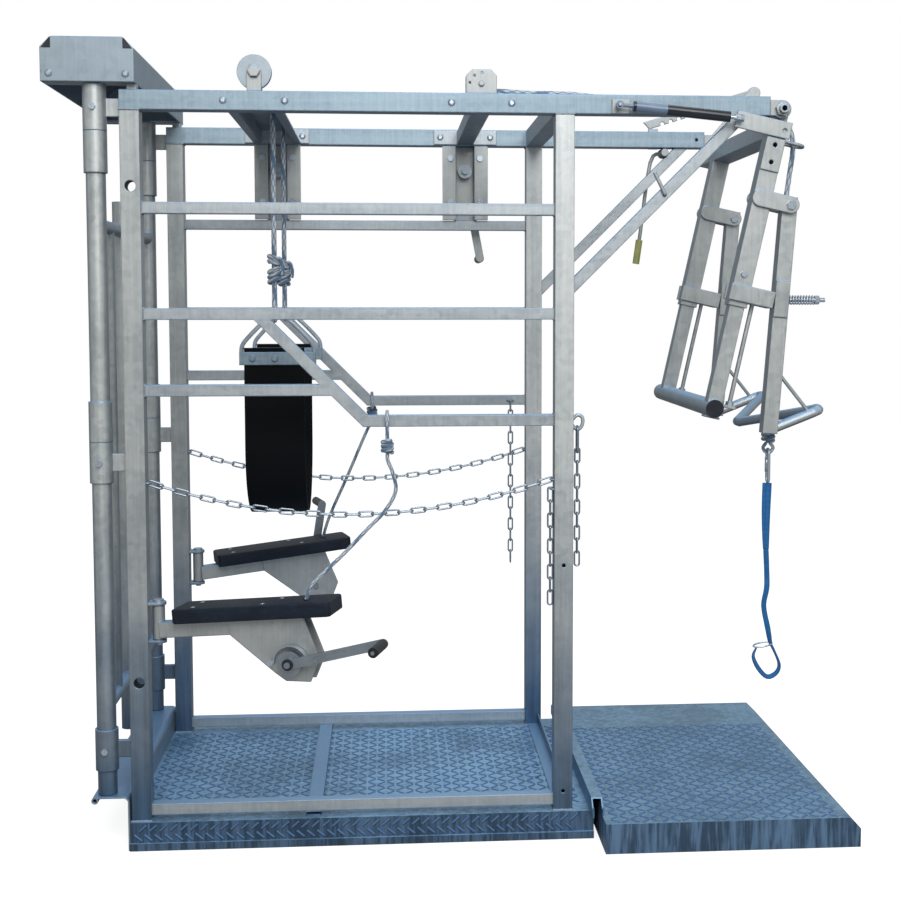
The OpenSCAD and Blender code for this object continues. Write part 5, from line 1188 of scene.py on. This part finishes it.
class CHUTE_OT_winches(bpy.types.Operator):
    """Hub rings and ratchet covers of the leg rest winches"""

    bl_idname = "chute.winches"
    bl_label = "Leg rest winches"
    axle = (366, -95)
    hub, crank_face, cover_r, cover_y = 8.2, -63.2, 44, (-29, -46)

    def execute(self, context):
        for side in ("near", "far"):
            place = at_rest_pad(side)
            y, r = self.crank_face, self.hub
            ring = Shell().turned(self.axle, [(r, y), (r + 7, y), (r + 7, y - 1.2), (r, y - 1.2)]).move(place)
            ring = ring.make(f"hub_ring_{side}", "cap_black")
            smooth_by_angle(ring)
            belongs(ring, f"leg_winch_{side}")
            cover = self.cover().move(place).make(f"ratchet_cover_{side}", "plated_bolt")
            smooth_by_angle(cover)
            belongs(cover, f"leg_rest_{side}")
        return {"FINISHED"}

    def cover(self):
        """A bent strip over the ratchet wheel, with a bolt at its foot."""
        x, z = self.axle
        near, far = self.cover_y
        middle, wide = (near + far) / 2, abs(near - far) / 2 * MM
        bend = [math.radians(k * 6 + 12) for k in range(29)]
        r = self.cover_r
        line = [((x + r * math.cos(a)) * MM, middle * MM, (z + r * math.sin(a)) * MM) for a in bend]
        ring = [(-wide, -MM), (wide, -MM), (wide, MM), (-wide, MM)]
        shell = Shell().sweep(np.array(line), lambda i, far: ring, (0, 1, 0))
        foot = (x - self.cover_r - 8, z + 4)
        return shell.turned(foot, [(0.3, far), (9, far), (9, far - 5), (0.3, far - 5)], 6)


class CHUTE_OT_cover(bpy.types.Operator):
    """Dark corner openings in the end plates of the gate's cover box: thin black sheets there stand for
    painted shade inside the box
    """

    bl_idname = "chute.cover"
    bl_label = "Cover box openings"
    inset, wide, high, slope = 3, 24, 26, 20

    def execute(self, context):
        low, high = (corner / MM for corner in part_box("cover_box"))
        shell = Shell()
        foot, top = high.z - self.inset - self.high, high.z - self.inset
        for y in (low.y, high.y):
            for x, run in ((low.x, 1), (high.x, -1)):
                outer, inner, upper = (x + run * (self.inset + far) for far in (0, self.wide, self.slope))
                shell.prism([(outer, foot), (inner, foot), (inner, top), (upper, top)], y - 0.4, y + 0.4)
        # Painted shade: thin black sheets stand for the shaded inside of the box, seen through the openings.
        belongs(shell.make("cover_opening_shade", "cap_black", False), "crate")
        return {"FINISHED"}


class CHUTE_OT_springs(bpy.types.Operator):
    """Coil springs of the hoof frame"""

    bl_idname = "chute.springs"
    bl_label = "Hoof springs"

    def execute(self, context):
        sizes = context.scene.chute_sizes
        low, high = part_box("hoof_springs")
        wire = sizes.spring_wire
        radius, middle = (high.z - low.z) / 2 - wire, (low.z + high.z) / 2
        places = [(low.x + wire, y, middle) for y in (low.y + radius + wire, high.y - radius - wire)]
        spring = spring_tree().grow(
            "hoof_spring_coils", dots(places), "plated_bolt", Length=high.x - low.x - 2 * wire,
            Radius=radius, Wire=wire, Turns=float(sizes.spring_turns))
        belongs(spring, "hind_gate", "hoof_springs")
        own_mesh(spring)
        return {"FINISHED"}


class CHUTE_OT_tread(bpy.types.Operator):
    """Raised lugs on the floor, the skirts and the platform"""

    bl_idname = "chute.tread"
    bl_label = "Tread lugs"
    margin, floor_side, skirt_side, skirt_rows = 0.02, 0.352, 0.43, (0.034, 0.059)
    ramp_start, ramp_end, ramp_side, ramp_top = 0.055, 0.045, 0.315, 0.080

    def execute(self, context):
        sizes = context.scene.chute_sizes
        tree = lug_tree()
        fixed = {"Length": sizes.lug_length, "Width": sizes.lug_width, "Height": sizes.lug_height}
        pitch = sizes.lug_pitch
        low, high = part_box("floor_plate")
        margin, side = self.margin, self.floor_side
        floor = self.field((low.x + margin, -side), (high.x - margin, side), FLOOR_Z, pitch)
        self.keep(tree, "floor_lugs", floor, fixed)
        skirt = [], []
        for out in (-1, 1):
            rows = int((high.x - low.x - 2 * margin) / pitch)
            for i in range(rows):
                for k, z in enumerate(self.skirt_rows):
                    skirt[0].append((low.x + margin + (i + 0.5 * k) * pitch, out * self.skirt_side, z))
                    skirt[1].append((math.pi / 2, math.radians(-40 if k else 40), 0))
        self.keep(tree, "skirt_lugs", skirt, fixed)
        low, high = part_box("platform")
        ramp = self.field((low.x + self.ramp_start, low.y + margin),
                          (high.x - self.ramp_end, self.ramp_side), self.ramp_top, pitch)
        self.keep(tree, "platform_lugs", ramp, fixed)
        return {"FINISHED"}

    def field(self, first, last, z, pitch):
        """Places in rows, and turns that alternate."""
        places, turns = [], []
        for i in range(int((last[0] - first[0]) / pitch) + 1):
            for k in range(int((last[1] - first[1]) / pitch) + 1):
                places.append((first[0] + i * pitch, first[1] + k * pitch, z))
                turns.append((0, 0, math.radians(45 if (i + k) % 2 else -45)))
        return places, turns

    def keep(self, tree, name, field, fixed):
        belongs(tree.grow(name, dots(*field), "tread_lug", **fixed), "crate")


class CHUTE_OT_welds(bpy.types.Operator):
    """Weld beads where the tubes meet"""

    bl_idname = "chute.welds"
    bl_label = "Welds"
    rail_ends = ((-0.5325, (1.678, 1.406, 1.208)), (0.5325, (1.678, 1.406, 1.126)))
    posts, post_ends, rail_half, post_half = (-0.5575, 0.5575), (1.925, 0.0755), 0.015, 0.025

    def execute(self, context):
        sizes = context.scene.chute_sizes
        seams = []
        for y in (-RAIL_Y, RAIL_Y):
            for x, levels in self.rail_ends:
                seams += [self.square((x, y, z), self.rail_half, "x") for z in levels]
            for x in self.posts:
                seams += [self.square((x, y, z), self.post_half, "z") for z in self.post_ends]
        places, edges = [], []
        for seam in seams:
            base = len(places)
            places += seam
            edges += [(base + k, base + k + 1) for k in range(len(seam) - 1)]
        mesh = bpy.data.meshes.new("seams")
        mesh.from_pydata(places, edges, [])
        welds = bead_tree().grow(
            "crate_welds", mesh, "zinc_weld", Pitch=sizes.bead_pitch, Radius=sizes.bead_radius)
        belongs(welds, "crate")
        return {"FINISHED"}

    def square(self, at, half, axis):
        """The seam round a square tube's end."""
        ring = [(-half, -half), (half, -half), (half, half), (-half, half), (-half, -half)]
        x, y, z = at
        if axis == "x":
            return [(x, y + a, z + b) for a, b in ring]
        return [(x + a, y + b, z) for a, b in ring]


class CHUTE_OT_finishes(bpy.types.Operator):
    """A finish on every piece that comes from the part's source"""

    bl_idname = "chute.finishes"
    bl_label = "Finishes"

    def execute(self, context):
        for finish, nodes in FINISH_OF.items():
            for node in nodes:
                coat(NODE[node], finish)
        missing = set(NODE) - {n for nodes in FINISH_OF.values() for n in nodes}
        if missing:
            raise RuntimeError(f"no finish for {sorted(missing)}")
        return {"FINISHED"}


class CHUTE_PT_panel(bpy.types.Panel):
    """Pieces of the chute"""

    bl_idname = "CHUTE_PT_panel"
    bl_label = "Hoof trimming chute"
    bl_space_type = "VIEW_3D"
    bl_region_type = "UI"
    bl_category = "Chute"

    def draw(self, context):
        for operator in OPERATORS:
            self.layout.operator(operator.bl_idname)
        for group in (context.scene.chute_colours, context.scene.chute_sizes, context.scene.chute_stage):
            box = self.layout.box()
            for label in group.bl_rna.properties.keys():
                if label not in ("rna_type", "name"):
                    box.prop(group, label)


OPERATORS = (CHUTE_OT_stage, CHUTE_OT_leg_ropes, CHUTE_OT_belt_ropes, CHUTE_OT_hind_rope, CHUTE_OT_belt,
             CHUTE_OT_pads, CHUTE_OT_winches, CHUTE_OT_cover, CHUTE_OT_springs, CHUTE_OT_tread,
             CHUTE_OT_welds, CHUTE_OT_finishes)
GROUPS = (ChuteColours, ChuteSizes, ChuteStage)


def register():
    for part in (*GROUPS, *OPERATORS, CHUTE_PT_panel):
        bpy.utils.register_class(part)
    bpy.types.Scene.chute_colours = bpy.props.PointerProperty(type=ChuteColours)
    bpy.types.Scene.chute_sizes = bpy.props.PointerProperty(type=ChuteSizes)
    bpy.types.Scene.chute_stage = bpy.props.PointerProperty(type=ChuteStage)


def unregister():
    for label in ("chute_colours", "chute_sizes", "chute_stage"):
        delattr(bpy.types.Scene, label)
    for part in reversed((*GROUPS, *OPERATORS, CHUTE_PT_panel)):
        bpy.utils.unregister_class(part)


def main():
    register()
    make_finishes()
    for operator in OPERATORS:
        group, name = operator.bl_idname.split(".")
        getattr(getattr(bpy.ops, group), name)()


if __name__ == "__main__":
    main()
